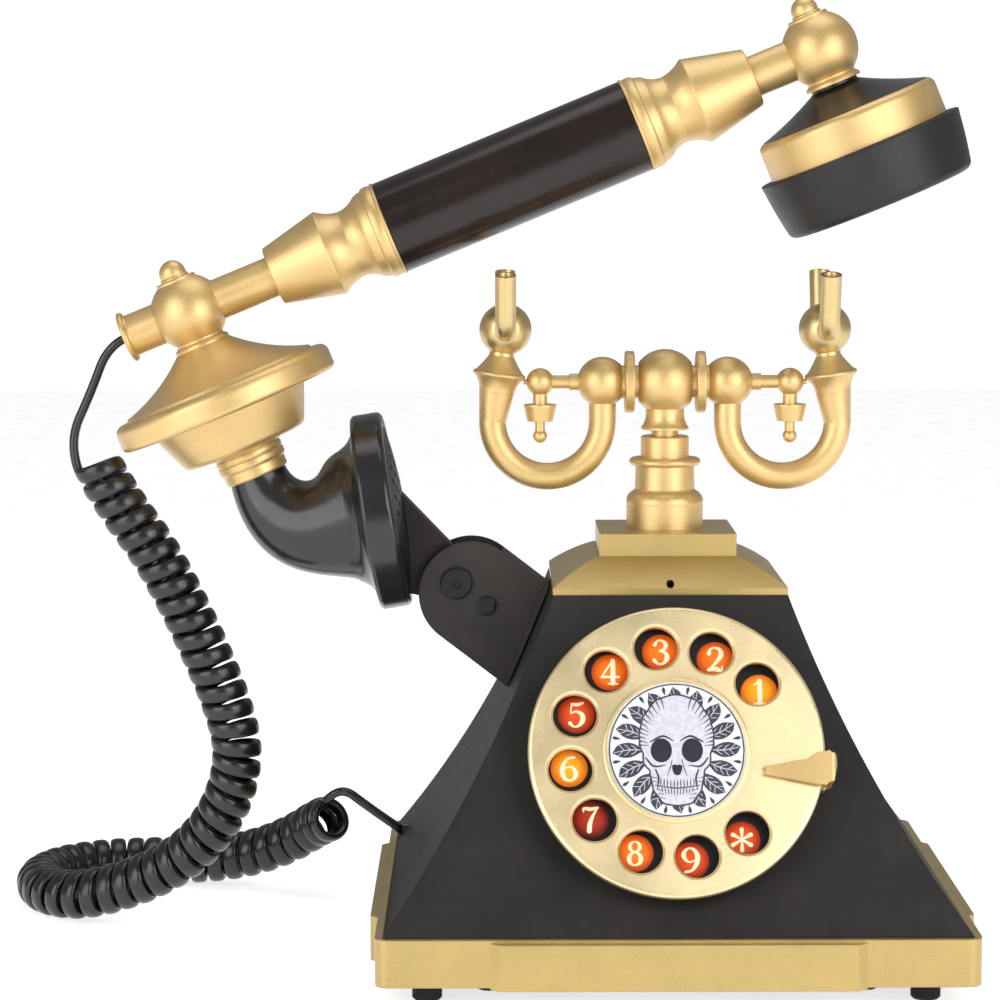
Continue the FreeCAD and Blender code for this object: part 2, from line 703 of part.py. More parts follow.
def make_finger_wheel():
    """Finger wheel with its holes, rounded rim and raised bezel, its medallion and spindle."""
    rim, thick = S.wheel_radius, S.wheel_thick
    bezel, inside = S.bezel_radius, S.medallion_radius
    wheel = turned([(S.spindle_radius, -12.2), (6, -12.2), (6, -thick), (rim - 0.5, -thick),
                    (rim, -thick + 0.5), (rim, -1.4), (rim - 1.4, 0, -1.4), (bezel, 0), (bezel, 0.7),
                    (bezel - 0.7, 1.4, -0.7), (inside, 1.4), (inside, 0), (S.spindle_radius, 0)], DIAL)
    first = on_hole_circle(0)
    hole = pocket(wheel, lambda k: draw_circle(k, S.hole_radius, first.x, first.y), -thick - 1, 1.0)
    doc.recompute()
    around(wheel, hole, S.hole_count, (S.hole_count.value - 1) * S.hole_step.value)
    edge = doc.addObject("Part::Cone", "Edge")
    bind(edge, "Radius1", S.hole_radius)
    bind(edge, "Radius2", S.hole_edge)
    bind(edge, "Height", S.hole_edge - S.hole_radius)
    edges = copies(edge, [DIAL.multiply(at(spot.x, spot.y, S.hole_radius - S.hole_edge))
                          for spot in map(on_hole_circle, range(int(S.hole_count.value)))])
    named("finger_wheel", less(wheel, [edges]))
    named("dial_medallion", turned([(0, 0), (inside, 0), (inside, 0.9), (0, 0.9)], DIAL))
    back = S.drum_back
    radius = S.spindle_radius
    named("dial_spindle", turned([(0, 0), (radius, 0), (radius, -back - 0.4), (4.6, -back - 0.4),
                                  (4.6, -back - 1.6), (radius, -back - 1.6), (radius - 0.6, -back - 3),
                                  (0, -back - 3)], DIAL))


def make_dial_housing():
    """Drum, number plate with its lenses, lamp board, return spring and finger stop."""
    radius, front, back = S.drum_radius, S.drum_front, S.drum_back
    inner = radius - S.drum_wall
    named("dial_housing", turned([(S.spindle_bore, -back), (radius, -back), (radius, -front),
                                  (inner, -front), (inner, -back + 2.6), (7, -back + 2.6), (7, -back + 8),
                                  (S.spindle_bore, -back + 8)], DIAL))
    deep = S.plate_front + 2
    plate = turned([(6.6, -deep), (inner, -deep), (inner, -S.plate_front), (6.6, -S.plate_front)], DIAL)
    turned_back = S.plate_turn.value
    first = on_hole_circle(0, turned_back)
    hole = pocket(plate, lambda k: draw_circle(k, S.lens_radius, first.x, first.y), -deep - 1,
                  -S.plate_front + 1)
    doc.recompute()
    around(plate, hole, S.hole_count, (S.hole_count.value - 1) * S.hole_step.value)
    named("number_plate", plate)
    edge = S.lens_radius
    lens = turned([(0, -deep), (edge, -deep), (edge, -S.plate_front), (1, -S.plate_front + 0.7, -28.6),
                   (0, -S.plate_front + 0.7)])
    lens_places = [DIAL.multiply(Placement(on_hole_circle(index, turned_back), Rotation()))
                   for index in range(int(S.hole_count.value))]
    named("number_lenses", copies(lens, lens_places))
    ring = cylinder(inner - 0.2, 1.6, DIAL.multiply(at(0, 0, -20.6)))
    window = cylinder(22, 4, DIAL.multiply(at(0, 0, -22)))
    lamps = [box((-2, -2, -19.2), (2, 2, -16.6), place) for place in lens_places]
    named("lamp_board", less(joined([ring] + lamps), [window]))
    spring_depth = DIAL.multiply(at(0, 0, -24.4))
    named("dial_return_spring", copies(wire_spring(8.6, 1.6, 4.8, 0.5), [spring_depth]))


def extruded(points, place, length):
    """Flat outline extruded both ways from its plane."""
    sketch = doc.addObject("Sketcher::SketchObject", "Outline")
    sketch.Placement = place
    draw_outline(sketch, points)
    item = doc.addObject("Part::Extrusion", "Extrusion")
    item.Base = sketch
    item.DirMode = "Normal"
    item.Solid = True
    item.Symmetric = True
    bind(item, "LengthFwd", length)
    return item


def make_finger_stop():
    """Finger stop: a level wedge over the wheel, hooked round its rim to the drum."""
    rim, tip = S.wheel_radius, 27.5
    inside, outside = rim + 0.9, rim + 3.5
    side = extruded([(tip, 1.0), (inside, 1.0), (inside, -4.8), (40, -4.8), (40, -10), (outside - 2, -10),
                     (outside, -8), (outside, 2.0), (outside - 1.8, 3.8, -1.8), (tip, 2.6)],
                    DIAL.multiply(Placement(Vector(), TO_FRONT)), 40)
    plan = extruded([(28.4, -8.3, 1.25), (49.2, -12.5), (51.6, -11.2, 2.2), (53.2, -4.4), (52.4, -1.6),
                     (50.4, -0.6, 2.0), (48.6, -1.0, 2.4), (43.0, -3.7, -9.0), (34.0, -5.2, -40.0),
                     (28.5, -5.9)],
                    DIAL, 40)
    named("finger_stop", less(shared(side, plan), [drum_way(S.drum_radius, S.drum_back, S.drum_front)]))


# ---------------------------------------------------------------- bracket, motor and lift arm

def pinion_spot():
    """Distance from the pivot to the motor's axis, along the bracket."""
    return S.tooth_module * ((S.arm_teeth.value + S.pinion_teeth.value) / 2)


def gear(teeth, width, bore, place):
    """Spur wheel with straight-flanked teeth; one tooth lies on its X axis."""
    body = new_body(place)
    module = S.tooth_module
    pitch = module.value * number_of(teeth) / 2
    pad(body, lambda k: draw_circle(k, module * (number_of(teeth) / 2) - module * 1.2), 0.0, width)
    tip = pitch + 0.5
    root = pitch - 1.0
    tooth = [(root, -0.62), (tip, -0.2), (tip, 0.2), (root, 0.62)]
    around(body, pad(body, lambda k: draw_outline(k, tooth), 0.0, width), teeth)
    pocket(body, lambda k: draw_circle(k, bore), -1.0, width + 1)
    return body


def make_bracket():
    """Two cheek plates, the web with its foot, and the screws that hold the foot."""
    half, inner, thick = S.bracket_half, S.bracket_inner, S.bracket_plate
    foot = foot_frame()
    plate = S.foot_plate
    beyond_foot = box((-plate, -40, -60), (80, 40, 60), foot)
    end = S.bracket_end
    for name, near, pin_bore in (("front", -inner - thick, 1.55), ("rear", inner, 1.4)):
        cheek = extruded([(end, -half, -half), (60, -half), (60, half), (end, half),
                          (end - half, 0, -half)],
                         BRACKET.multiply(Placement(Vector(0, number_of(near + thick * 0.5), 0), TO_FRONT)),
                         thick)
        pivot_hole = cylinder(S.pivot_bore, 40, BRACKET.multiply(at(0, 20, 0, TO_FRONT)))
        pin_hole = cylinder(pin_bore, 20, BRACKET.multiply(at(pinion_spot(), near + thick + 5, 0, TO_FRONT)))
        named("bracket_%s_plate" % name, less(cheek, [beyond_foot, pivot_hole, pin_hole]))
    web = box((S.bracket_end, -inner, half - 2), (50, inner, half), BRACKET)
    wide = inner + thick + 1
    foot_plate = box((-plate, -wide, -17.7), (0, wide, 20.6), foot)
    into_body = box((0, -40, -60), (80, 40, 60), foot)
    screw_places = bracket_screw_places()
    holes = [cylinder(1.5, 12, place.multiply(at(0, 0, -5))) for place in screw_places]
    named("bracket_web", less(joined([web, foot_plate]), [into_body] + holes))
    screw = turned([(0, -1.6), (1.6, -1.6), (2.6, -0.6, -1.1), (2.6, 0), (1.4, 0), (1.4, 3.4), (0, 3.4)])
    named("bracket_screws", copies(screw, screw_places))

    head = inner + thick
    bolt = turned([(0, -head - 2), (4.8, -head - 2), (5.6, -head - 1.2, -0.9), (5.6, -head),
                   (S.pivot_radius, -head), (S.pivot_radius, head + 4.5), (0, head + 4.5)],
                  at(-S.pivot_left, 0, S.pivot_height, turn(X_AXIS, -90)))
    corner = 1.8
    recess = extruded([(corner * math.cos(math.radians(60 * k)), corner * math.sin(math.radians(60 * k)))
                       for k in range(6)],
                      PIVOT.multiply(at(0, 0, head + 2)), 2.4)
    nut_body = extruded([(5.2 * math.cos(math.radians(60 * k)), 5.2 * math.sin(math.radians(60 * k)))
                         for k in range(6)],
                        PIVOT.multiply(at(0, 0, -head - 1.6)), 3.2)
    nut = less(nut_body, [cylinder(S.pivot_radius, 50, PIVOT.multiply(at(0, 0, -25)))])
    named("pivot_bolt", group([less(bolt, [recess]), nut]))


def make_drive():
    """Gear motor between the cheeks with its pinion."""
    spot = BRACKET.multiply(at(pinion_spot(), 0, 0, TO_FRONT))
    inner, thick = S.bracket_inner, S.bracket_plate
    face = inner - S.gear_width - 0.8
    motor = turned([(0, -inner), (S.motor_radius, -inner), (S.motor_radius, face - 2), (3.4, face - 2),
                    (3.4, face), (0, face)], spot)
    named("lift_motor", motor)
    half_pitch = 180.0 / S.pinion_teeth.value
    wheel = gear(S.pinion_teeth, S.gear_width, 1.0,
                 spot.multiply(at(0, 0, inner - S.gear_width - 0.2, turn(Z_AXIS, 180 + half_pitch))))
    pin = turned([(0, face + 0.3), (1.5, face + 0.3), (1.5, inner + thick + 0.3), (3.4, inner + thick + 0.3),
                  (3.4, inner + thick + 0.9), (2.8, inner + thick + 1.3), (0, inner + thick + 1.3)], spot)
    named("motor_pinion", joined([wheel, pin]))


def dome_solid(reach, lift):
    """The mouthpiece's face with its domed grille, as one solid on the mouth's axis."""
    thick = S.mouth_thick
    return turned([(0, 0), (reach, 0), (reach, thick + lift), (29.4, thick + lift),
                   (2, thick + lift + 2.7, -161.4), (0, thick + lift + 2.7)],
                  MOUTH.multiply(Placement(Vector(), ALONG_X)))


def make_lift_arm():
    """Arm from the pivot to the mouthpiece's face, with its toothed ring."""
    inner = S.bracket_inner
    pivot = Vector(-S.pivot_left.value, 0, S.pivot_height.value)
    hub = S.arm_hub.value
    upper = math.radians(44.6)
    web = extruded([(-98, 166.4), (-91, 126.0), (pivot.x - 1, pivot.z - hub),
                    (pivot.x + hub * math.cos(upper), pivot.z + hub * math.sin(upper), -hub)],
                   Placement(Vector(), TO_FRONT), (inner - S.gear_width - 0.6) * 2)
    hub_bar = cylinder(S.arm_hub, inner * 2 - S.gear_width - 0.8,
                       PIVOT.multiply(at(0, 0, -inner.value + 0.2)))
    bore = cylinder(S.pivot_bore, 40, PIVOT.multiply(at(0, 0, -20)))
    shape = less(joined([web, hub_bar]), [dome_solid(60, 0.0), bore])
    ring = gear(S.arm_teeth, S.gear_width, S.pivot_bore,
                PIVOT.multiply(at(0, 0, inner - S.gear_width - 0.7, turn(Z_AXIS, -S.bracket_slope.value))))
    named("lift_arm", joined([shape, ring]))


# ---------------------------------------------------------------- handset

def up_frame(reach):
    """Handset frame moved along the handset's axis; Z stays square to the axis."""
    return HANDSET.multiply(at(reach, 0, 0))


def along_frame(reach, way=1):
    """Frame whose Z runs along the handset's axis, outwards on the side given."""
    return HANDSET.multiply(at(reach, 0, 0, turn(Y_AXIS, 90 * way)))


def make_grip():
    """Grip tube, tie rod, the two turned ferrules and the necks."""
    half, radius = S.grip_half, S.grip_radius
    named("grip_tube", turned([(13.6, -half), (radius - 0.3, -half), (radius, -half + 0.3),
                               (radius, half - 0.3), (radius - 0.3, half), (13.6, half)],
                              along_frame(0)))
    length = S.ferrule_length
    bore = 2.1
    ferrule = turned([(bore, 0), (16.6, 0), (16.9, 0.3, -0.3), (16.9, 0.9), (16.4, 1.2),
                      (16.7, 3.0, -5.6), (16.4, 4.6, -5.6), (15.9, 5.0), (15.7, 5.5),
                      (14.8, 8.2, -7.0), (12.15, 14.8, 10.0), (15.2, 22.3, 14.0),
                      (15.45, 23.0, -0.8),
                      (10.6, length - 0.8), (9.9, length, -0.8), (bore, length)])
    places = [along_frame(half), along_frame(-half, -1)]
    named("ferrules", copies(ferrule, places))
    start = half + length
    left = turned([(bore, start), (S.neck_radius, start), (S.neck_radius, S.mouth_reach - S.elbow_flat),
                   (bore, S.mouth_reach - S.elbow_flat)], along_frame(0, -1))
    right = turned([(bore, start), (S.neck_radius, start), (S.neck_radius, S.ear_reach - S.elbow_flat),
                    (bore, S.ear_reach - S.elbow_flat)], along_frame(0))
    named("neck_tubes", group([left, right]))
    rod_left = S.mouth_reach - S.elbow_flat - 1
    rod_right = S.ear_reach - S.elbow_flat - 1
    named("tie_rod", turned([(0, -rod_left), (2, -rod_left), (2, rod_right), (0, rod_right)],
                            along_frame(0)))


def elbow(reach, flats):
    """Ball elbow with a top land for its knob, a beaded foot and flats for the tubes."""
    radius = S.elbow_radius
    ball = turned([(0, -13), (9.9, -13), (9.6, -11.6, -1.5), (8.6, -10.9), (8.6, -10.21),
                   (radius, 0, -radius), (7.2, 11.242, -radius), (7.2, 12.0), (6.7, 12.4), (0, 12.4)],
                  up_frame(reach))
    left, right = flats
    keep = box((left, -20, -20), (right, 20, 20), up_frame(reach))
    return shared(ball, keep)


def make_elbows():
    """The elbows, their knobs and the cord's outlet tube."""
    flat = S.elbow_flat
    named("elbow_ball_left", elbow(-S.mouth_reach, (-flat, flat)))
    named("elbow_ball_right", elbow(S.ear_reach, (-flat, S.elbow_radius + 1)))
    radius, centre = S.knob_radius, 14.4
    knob = turned([(0, 12.4), (5.2, 12.4), (5.2, 13.0), (4.8, 13.4), (4.6436, 13.4),
                   (radius, centre, -radius), (0, radius + centre, -radius)])
    named("elbow_knobs", copies(knob, [up_frame(-S.mouth_reach), up_frame(S.ear_reach)]))
    outlet, rim, length = S.outlet_radius, S.outlet_rim, S.outlet_length
    named("cord_outlet", turned([(0, flat), (outlet, flat), (outlet, flat + length - 2.6),
                                 (rim - 0.4, flat + length - 1.8, 1.2), (rim, flat + length - 1.2, -0.9),
                                 (rim - 0.6, flat + length, -0.9), (rim - 2.2, flat + length),
                                 (rim - 2.8, flat + length - 3), (0, flat + length - 3)],
                                along_frame(-S.mouth_reach, -1)))


def make_transmitter():
    """Transmitter housing, cup, curved horn and its grille."""
    rim = S.rim_radius
    named("transmitter_housing", turned([(0, -13), (9.9, -13), (34.6, -26.9, -62.0), (35.2, -28.0),
                                         (37.2, -28.0), (rim, -31.2, 3.2), (rim, -35.7),
                                         (rim - 1.7, -37.5, 1.9), (37.4, -37.5), (37.4, -31.6),
                                         (34.6, -29.8), (9, -16), (0, -16)],
                                        up_frame(-S.mouth_reach)))
    named("transmitter_cup", turned([(7.8, -62.6), (11.0, -62.6), (11.4, -62.0), (11.4, -59.0),
                                     (11.9, -58.4), (12.2, -57.0, -1.6), (11.9, -55.6, -1.6),
                                     (12.2, -54.4, -1.6), (11.9, -53.2, -1.6), (13.2, -52.4),
                                     (20.6, -51.8), (23.1, -49.95, -3.0), (28.2, -37.7), (37.3, -37.5),
                                     (37.3, -35.2), (27, -35.2), (26.2, -37.6), (20.8, -49.6),
                                     (7.8, -50.2)],
                                    up_frame(-S.mouth_reach)))
    start = up_frame(-S.mouth_reach).multiply(at(0, 0, -62.6))
    stations = [(start, 10.3), (at(-138.2, 0, 157.5, turn(Y_AXIS, 52 + 90)), 13.0),
                (at(-128, 0, 151.5, turn(Y_AXIS, 18 + 90)), 17.2),
                (at(-118, 0, 152.0, turn(Y_AXIS, -5 + 90)), 20.6),
                (MOUTH.multiply(at(-6, 0, 0, ALONG_X)), 23.5)]

    def tube(wall):
        rings = []
        for place, radius in stations:
            ring = doc.addObject("Part::Circle", "Station")
            ring.Radius = radius - wall
            ring.Placement = place
            rings.append(ring)
        loft = doc.addObject("Part::Loft", "Horn")
        loft.Sections = rings
        loft.Solid = True
        return loft

    mouth = S.mouth_radius
    thick = S.mouth_thick
    along = MOUTH.multiply(Placement(Vector(), ALONG_X))
    disc = turned([(0, -6.2), (23.6, -6.2), (32.6, -0.6, 9.4), (mouth, 0.9, -1.8), (mouth, thick - 2.4),
                   (mouth - 2, thick, -2.2), (29.6, thick), (0, thick)], along)
    hollow = turned([(0, -6.3), (20, -6.3), (27, 1.5), (27, 8), (29.6, 8), (29.6, thick + 1),
                     (0, thick + 1)], along)
    named("mouthpiece_horn", less(joined([tube(0), disc]), [tube(2.6), hollow]))
    grille = turned([(0, 8.1), (29.4, 8.1), (29.4, thick), (2, thick + 2.7, -161.4), (0, thick + 2.7)],
                    along)
    for reach, count in ((6.0, 6), (11.5, 12), (17.0, 18), (22.5, 24)):
        hole = pocket(grille, lambda k: draw_circle(k, 1.25, reach, 0), 6.0, 16.0)
        doc.recompute()
        around(grille, hole, count)
    named("mouthpiece_grille", grille)


def make_receiver():
    """Receiver cone, gold band, ear cap and the capsule inside."""
    place = up_frame(S.ear_reach)
    named("receiver_cone", turned([(0, -13.1), (8.4, -13.1), (8.4, -13.9), (30.4, -23.0, -120.0),
                                   (30.4, -27.0), (27.6, -27.0), (10.6, -18.2), (0, -18.2)], place))
    band = S.band_radius
    named("receiver_band", turned([(30.5, -23.2), (band, -25.8, 2.9), (band, -36.6), (30.5, -36.6)],
                                  place))
    ear = S.ear_radius
    cap = turned([(30.6, -36.8), (ear - 0.6, -36.8), (ear, -37.5, 0.7), (ear - 0.3, -39.5),
                  (ear - 2.6, -55.2, 160.0), (ear - 4.6, -57.9, 3.0), (25, -56.4, 30.0), (0, -54.6),
                  (0, -52.4), (26, -54.0), (30.6, -48.0)], place)
    for reach, count in ((4.5, 6), (9.0, 12)):
        hole = pocket(cap, lambda k: draw_circle(k, 1.1, reach, 0), -58.0, -50.0)
        doc.recompute()
        around(cap, hole, count)
    named("ear_cap", cap)
    named("receiver_capsule", turned([(0, -48), (22, -48), (22, -44), (12, -40), (12, -34), (0, -34)],
                                     place))


# ---------------------------------------------------------------- cord

COIL_ROUTE = [(-201.5, 0, 172.5), (-193.5, 0, 158), (-181, 0, 141), (-171, 0, 122), (-162.5, 1, 103),
              (-156, 2.5, 86), (-152, 4, 70), (-154, 6, 55), (-161, 9, 40), (-173, 14, 27), (-190, 20, 17),
              (-211, 26, 10.2), (-226, 38, 9.3), (-232.5, 57, 9.2), (-227, 77, 9.2), (-211, 90, 9.3),
              (-190, 93.5, 9.2), (-169, 91, 10), (-151, 86, 14), (-137, 81, 20.5), (-127, 74.5, 28),
              (-121.5, 64.5, 32)]


def make_cord():
    """Coiled cord as one fat tube, its two plain leads and the gland in the body's side."""
    outlet = along_frame(-S.mouth_reach, -1).multiply(at(0, 0, S.elbow_flat + S.outlet_length - 3)).Base
    top = [tuple(outlet), (-196.3, 0, 213.5), (-202.4, 0, 197.2), (-210.6, 0, 179.6), (-207.6, 0, 169.8)]
    side = [(-123.9, 63.9, 38.2), (-118.5, 61.5, 44.5), (-108, 60, 36.5), (-96, 60, 28.2)]
    for label, route, radius in (("cord_lead_handset", top, S.lead_radius),
                                 ("cord_coil", COIL_ROUTE, S.coil_radius),
                                 ("cord_lead_body", side, S.lead_radius)):
        tube, length, radii = bent_tube(route, radius)
        print(label, "length %.0f" % length, "radii", ["%.0f" % value for value in radii])
        named(label, tube)
    named("cord_gland", turned([(0, 0), (3.9, 0), (3.9, 1.6), (3.3, 1.6), (3.3, 8.6), (0, 8.6)],
                               at(-86.4, 60, 27.4, turn(Y_AXIS, -90))))


# ---------------------------------------------------------------- build

make_base_plinth()
make_bottom_cover()
make_base_details()
make_body_shell()
make_roof_cap()
make_column()
make_cradle()
make_finger_wheel()
make_dial_housing()
make_finger_stop()
make_bracket()
make_drive()
make_lift_arm()
make_grip()
make_elbows()
make_transmitter()
make_receiver()
make_cord()
doc.recompute()

faults = [item.Name + " " + item.Label for item in doc.Objects
          if "Invalid" in item.State or "Error" in item.State]
for label, piece in PIECES.items():
    if piece.Shape.isNull() or not piece.Shape.isValid() or not piece.Shape.Solids:
        faults.append(label)
if faults:
    raise RuntimeError("faulty objects: " + ", ".join(faults))

os.makedirs("parts", exist_ok=True)
for label, piece in PIECES.items():
    piece.Shape.exportStep("parts/%s.step" % label)
print(len(PIECES), "pieces written")
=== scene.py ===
"""Looks of the antique-style rotary telephone: materials, cord, dial print, lights and camera.

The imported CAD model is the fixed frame. Lengths are in metres, with the origin on the table
under the middle of the base, +X to the right, +Y to the back and +Z up.
"""

import json
import math

import bpy
from mathutils import Euler, Matrix, Vector


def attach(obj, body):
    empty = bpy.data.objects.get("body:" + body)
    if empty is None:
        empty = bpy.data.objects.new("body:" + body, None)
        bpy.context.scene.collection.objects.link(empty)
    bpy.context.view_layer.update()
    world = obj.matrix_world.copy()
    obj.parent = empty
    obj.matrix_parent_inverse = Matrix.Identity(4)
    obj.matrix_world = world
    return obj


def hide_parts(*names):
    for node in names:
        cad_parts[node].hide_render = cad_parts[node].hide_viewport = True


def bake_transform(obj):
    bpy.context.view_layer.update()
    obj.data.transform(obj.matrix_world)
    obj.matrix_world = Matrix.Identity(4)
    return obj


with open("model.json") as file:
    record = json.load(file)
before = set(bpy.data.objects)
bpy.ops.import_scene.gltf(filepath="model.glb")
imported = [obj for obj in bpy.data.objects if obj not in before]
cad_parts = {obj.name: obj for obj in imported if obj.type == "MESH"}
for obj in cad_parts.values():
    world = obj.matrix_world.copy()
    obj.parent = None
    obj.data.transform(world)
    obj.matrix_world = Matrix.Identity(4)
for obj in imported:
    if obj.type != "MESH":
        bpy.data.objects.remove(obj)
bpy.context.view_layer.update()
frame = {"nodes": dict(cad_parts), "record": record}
NODES = frame["nodes"]

MM = 0.001
DIAL_CENTRE = Vector((0, -80, 82.8)) * MM
DIAL_TILT = math.radians(22.5)
HOLE_CIRCLE = 35.8 * MM
HOLE_FIRST = math.radians(40)
HOLE_STEP = math.radians(30)
NUMBERS_TURNED_BACK = math.radians(3)
LENS_TOP = -8.1 * MM
MEDALLION_TOP = 0.9 * MM
MEDALLION_RADIUS = 22.9 * MM

# The cord's route, in millimetres: the upper lead, the coil and the lower lead.
UPPER_LEAD = [(-189.3, 0, 216.4), (-196.3, 0, 213.5), (-202.4, 0, 197.2), (-210.6, 0, 179.6),
              (-207.6, 0, 169.8)]
COIL_ROUTE = [(-201.5, 0, 172.5), (-193.5, 0, 158), (-181, 0, 141), (-171, 0, 122), (-162.5, 1, 103),
              (-156, 2.5, 86), (-152, 4, 70), (-154, 6, 55), (-161, 9, 40), (-173, 14, 27), (-190, 20, 17),
              (-211, 26, 10.2), (-226, 38, 9.3), (-232.5, 57, 9.2), (-227, 77, 9.2), (-211, 90, 9.3),
              (-190, 93.5, 9.2), (-169, 91, 10), (-151, 86, 14), (-137, 81, 20.5), (-127, 74.5, 28),
              (-121.5, 64.5, 32)]
LOWER_LEAD = [(-123.9, 63.9, 38.2), (-118.5, 61.5, 44.5), (-108, 60, 36.5), (-94.9, 60, 27.4)]


# ---------------------------------------------------------------- materials

class Shader:
    """A Principled material with a few helpers for its procedural detail."""

    def __init__(self, name, **sockets):
        self.material = bpy.data.materials.new(name)
        self.material.use_nodes = True
        self.tree = self.material.node_tree
        self.bsdf = self.tree.nodes["Principled BSDF"]
        for socket, value in sockets.items():
            self.bsdf.inputs[socket.replace("_", " ")].default_value = value
        self.coords = self.tree.nodes.new("ShaderNodeTexCoord").outputs["Object"]

    def node(self, kind, **inputs):
        made = self.tree.nodes.new("ShaderNode" + kind)
        for socket, value in inputs.items():
            made.inputs[socket.replace("_", " ")].default_value = value
        return made

    def link(self, start, end):
        self.tree.links.new(start, end)

    def noise(self, scale, detail=3.0, stretch=None):
        """Noise over the object's own coordinates; stretch scales the three axes."""
        made = self.node("TexNoise", Scale=scale, Detail=detail)
        start = self.coords
        if stretch:
            place = self.node("Mapping", Scale=stretch)
            self.link(start, place.inputs["Vector"])
            start = place.outputs["Vector"]
        self.link(start, made.inputs["Vector"])
        return made.outputs["Fac"]

    def colour(self, factor, tones):
        """Base colour from a factor through (place, tone) pairs; gives the ramp."""
        ramp = self.node("ValToRGB")
        elements = ramp.color_ramp.elements
        for element, (place, tone) in zip(elements, (tones[0], tones[-1])):
            element.position = place
            element.color = (*tone, 1)
        for place, tone in tones[1:-1]:
            elements.new(place).color = (*tone, 1)
        self.link(factor, ramp.inputs["Fac"])
        self.link(ramp.outputs["Color"], self.bsdf.inputs["Base Color"])
        return ramp

    def roughness(self, factor, low, high):
        spread = self.node("MapRange", From_Min=0.3, From_Max=0.7, To_Min=low, To_Max=high)
        self.link(factor, spread.inputs["Value"])
        self.link(spread.outputs["Result"], self.bsdf.inputs["Roughness"])

    def bump(self, factor, strength, distance, edge=0.0):
        """Bump from a factor; edge is the radius over which hard edges look rounded."""
        made = self.node("Bump", Strength=strength, Distance=distance)
        self.link(factor, made.inputs["Height"])
        if edge:
            rounding = self.node("Bevel", Radius=edge)
            rounding.samples = 4
            self.link(rounding.outputs["Normal"], made.inputs["Normal"])
        self.link(made.outputs["Normal"], self.bsdf.inputs["Normal"])


def near(tone, share):
    """The tone made darker or lighter by a share."""
    return tuple(min(1.0, value * share) for value in tone)


def lit(material, tone, strength):
    """The same material with a glow of its own."""
    bsdf = material.node_tree.nodes["Principled BSDF"]
    bsdf.inputs["Emission Color"].default_value = (*tone, 1)
    bsdf.inputs["Emission Strength"].default_value = strength
    return material


def metal_paint(name, tone, metallic, rough, grain_scale, grain, edge=0.0003):
    """Sprayed metallic paint: fine grain, faint clouds in tone and gloss."""
    shader = Shader(name, Metallic=metallic, Coat_Weight=0.7, Coat_IOR=1.7, Coat_Roughness=0.36)
    clouds = shader.noise(60, 4.0)
    flecks = shader.noise(2600, 2.0)
    mixed = shader.node("Mix", Factor=0.6)
    shader.link(clouds, mixed.inputs["A"])
    shader.link(flecks, mixed.inputs["B"])
    shader.colour(mixed.outputs["Result"],
                  [(0.32, near(tone, 0.84)), (0.5, tone), (0.68, near(tone, 1.14))])
    shader.roughness(clouds, rough - 0.04, rough + 0.06)
    shader.bump(shader.noise(grain_scale, 3.0), grain, 0.0002, edge)
    return shader.material


def moulded(name, tone, rough, grain_scale, grain, coat=0.0, edge=0.0003, depth=0.0002, shine=0.3):
    """Moulded plastic with a texture from the mould and slight wear in its gloss."""
    shader = Shader(name, Coat_Weight=coat, Coat_Roughness=0.12, Specular_IOR_Level=shine)
    clouds = shader.noise(45, 5.0)
    shader.colour(clouds, [(0.3, near(tone, 0.8)), (0.7, near(tone, 1.25))])
    shader.roughness(shader.noise(300, 4.0), rough - 0.05, rough + 0.06)
    shader.bump(shader.noise(grain_scale, 4.0), grain, depth, edge)
    return shader.material


def brushed(name, tone, rough, stretch=(1, 1, 40)):
    """Drawn or turned bare metal with fine lines."""
    shader = Shader(name, Metallic=1.0)
    lines = shader.noise(220, 6.0, stretch)
    shader.colour(lines, [(0.3, near(tone, 0.8)), (0.7, tone)])
    shader.roughness(lines, rough - 0.06, rough + 0.08)
    shader.bump(lines, 0.12, 0.00008)
    return shader.material


def printed(name, tone, other, scale, rough=0.35):
    """Printed sleeve, board or label: blotches of a second colour under a clear coat."""
    shader = Shader(name, Coat_Weight=0.4, Coat_Roughness=0.15)
    shader.colour(shader.noise(scale, 2.0), [(0.45, tone), (0.55, other)])
    shader.roughness(shader.noise(200), rough - 0.05, rough + 0.1)
    shader.bump(shader.noise(900), 0.1, 0.0001)
    return shader.material


def disc_paint(name, tone, shaded_edge_tone, glow):
    """Number disc with a painted glow and painted shade: it glows in its own colour, brightest near its
    upper middle and darker towards the lower edge, where the hole's wall shades it.
    """
    shader = Shader(name, Roughness=0.5, Specular_IOR_Level=0.25, Emission_Strength=glow)
    # The bright middle sits off the disc's centre, so the painted shade falls towards the lower edge.
    place = shader.node("Mapping", Location=(0.0006, -0.0010, 0), Scale=(145, 145, 145))
    shader.link(shader.coords, place.inputs["Vector"])
    sphere = shader.node("TexGradient")
    sphere.gradient_type = "SPHERICAL"
    shader.link(place.outputs["Vector"], sphere.inputs["Vector"])
    ramp = shader.colour(sphere.outputs["Fac"], [(0.05, shaded_edge_tone), (0.45, tone), (0.8, near(tone, 1.25))])
    # The same ramp drives the glow: a painted glow that carries the painted shade.
    shader.link(ramp.outputs["Color"], shader.bsdf.inputs["Emission Color"])
    shader.bump(shader.noise(900), 0.08, 0.0001)
    return shader.material


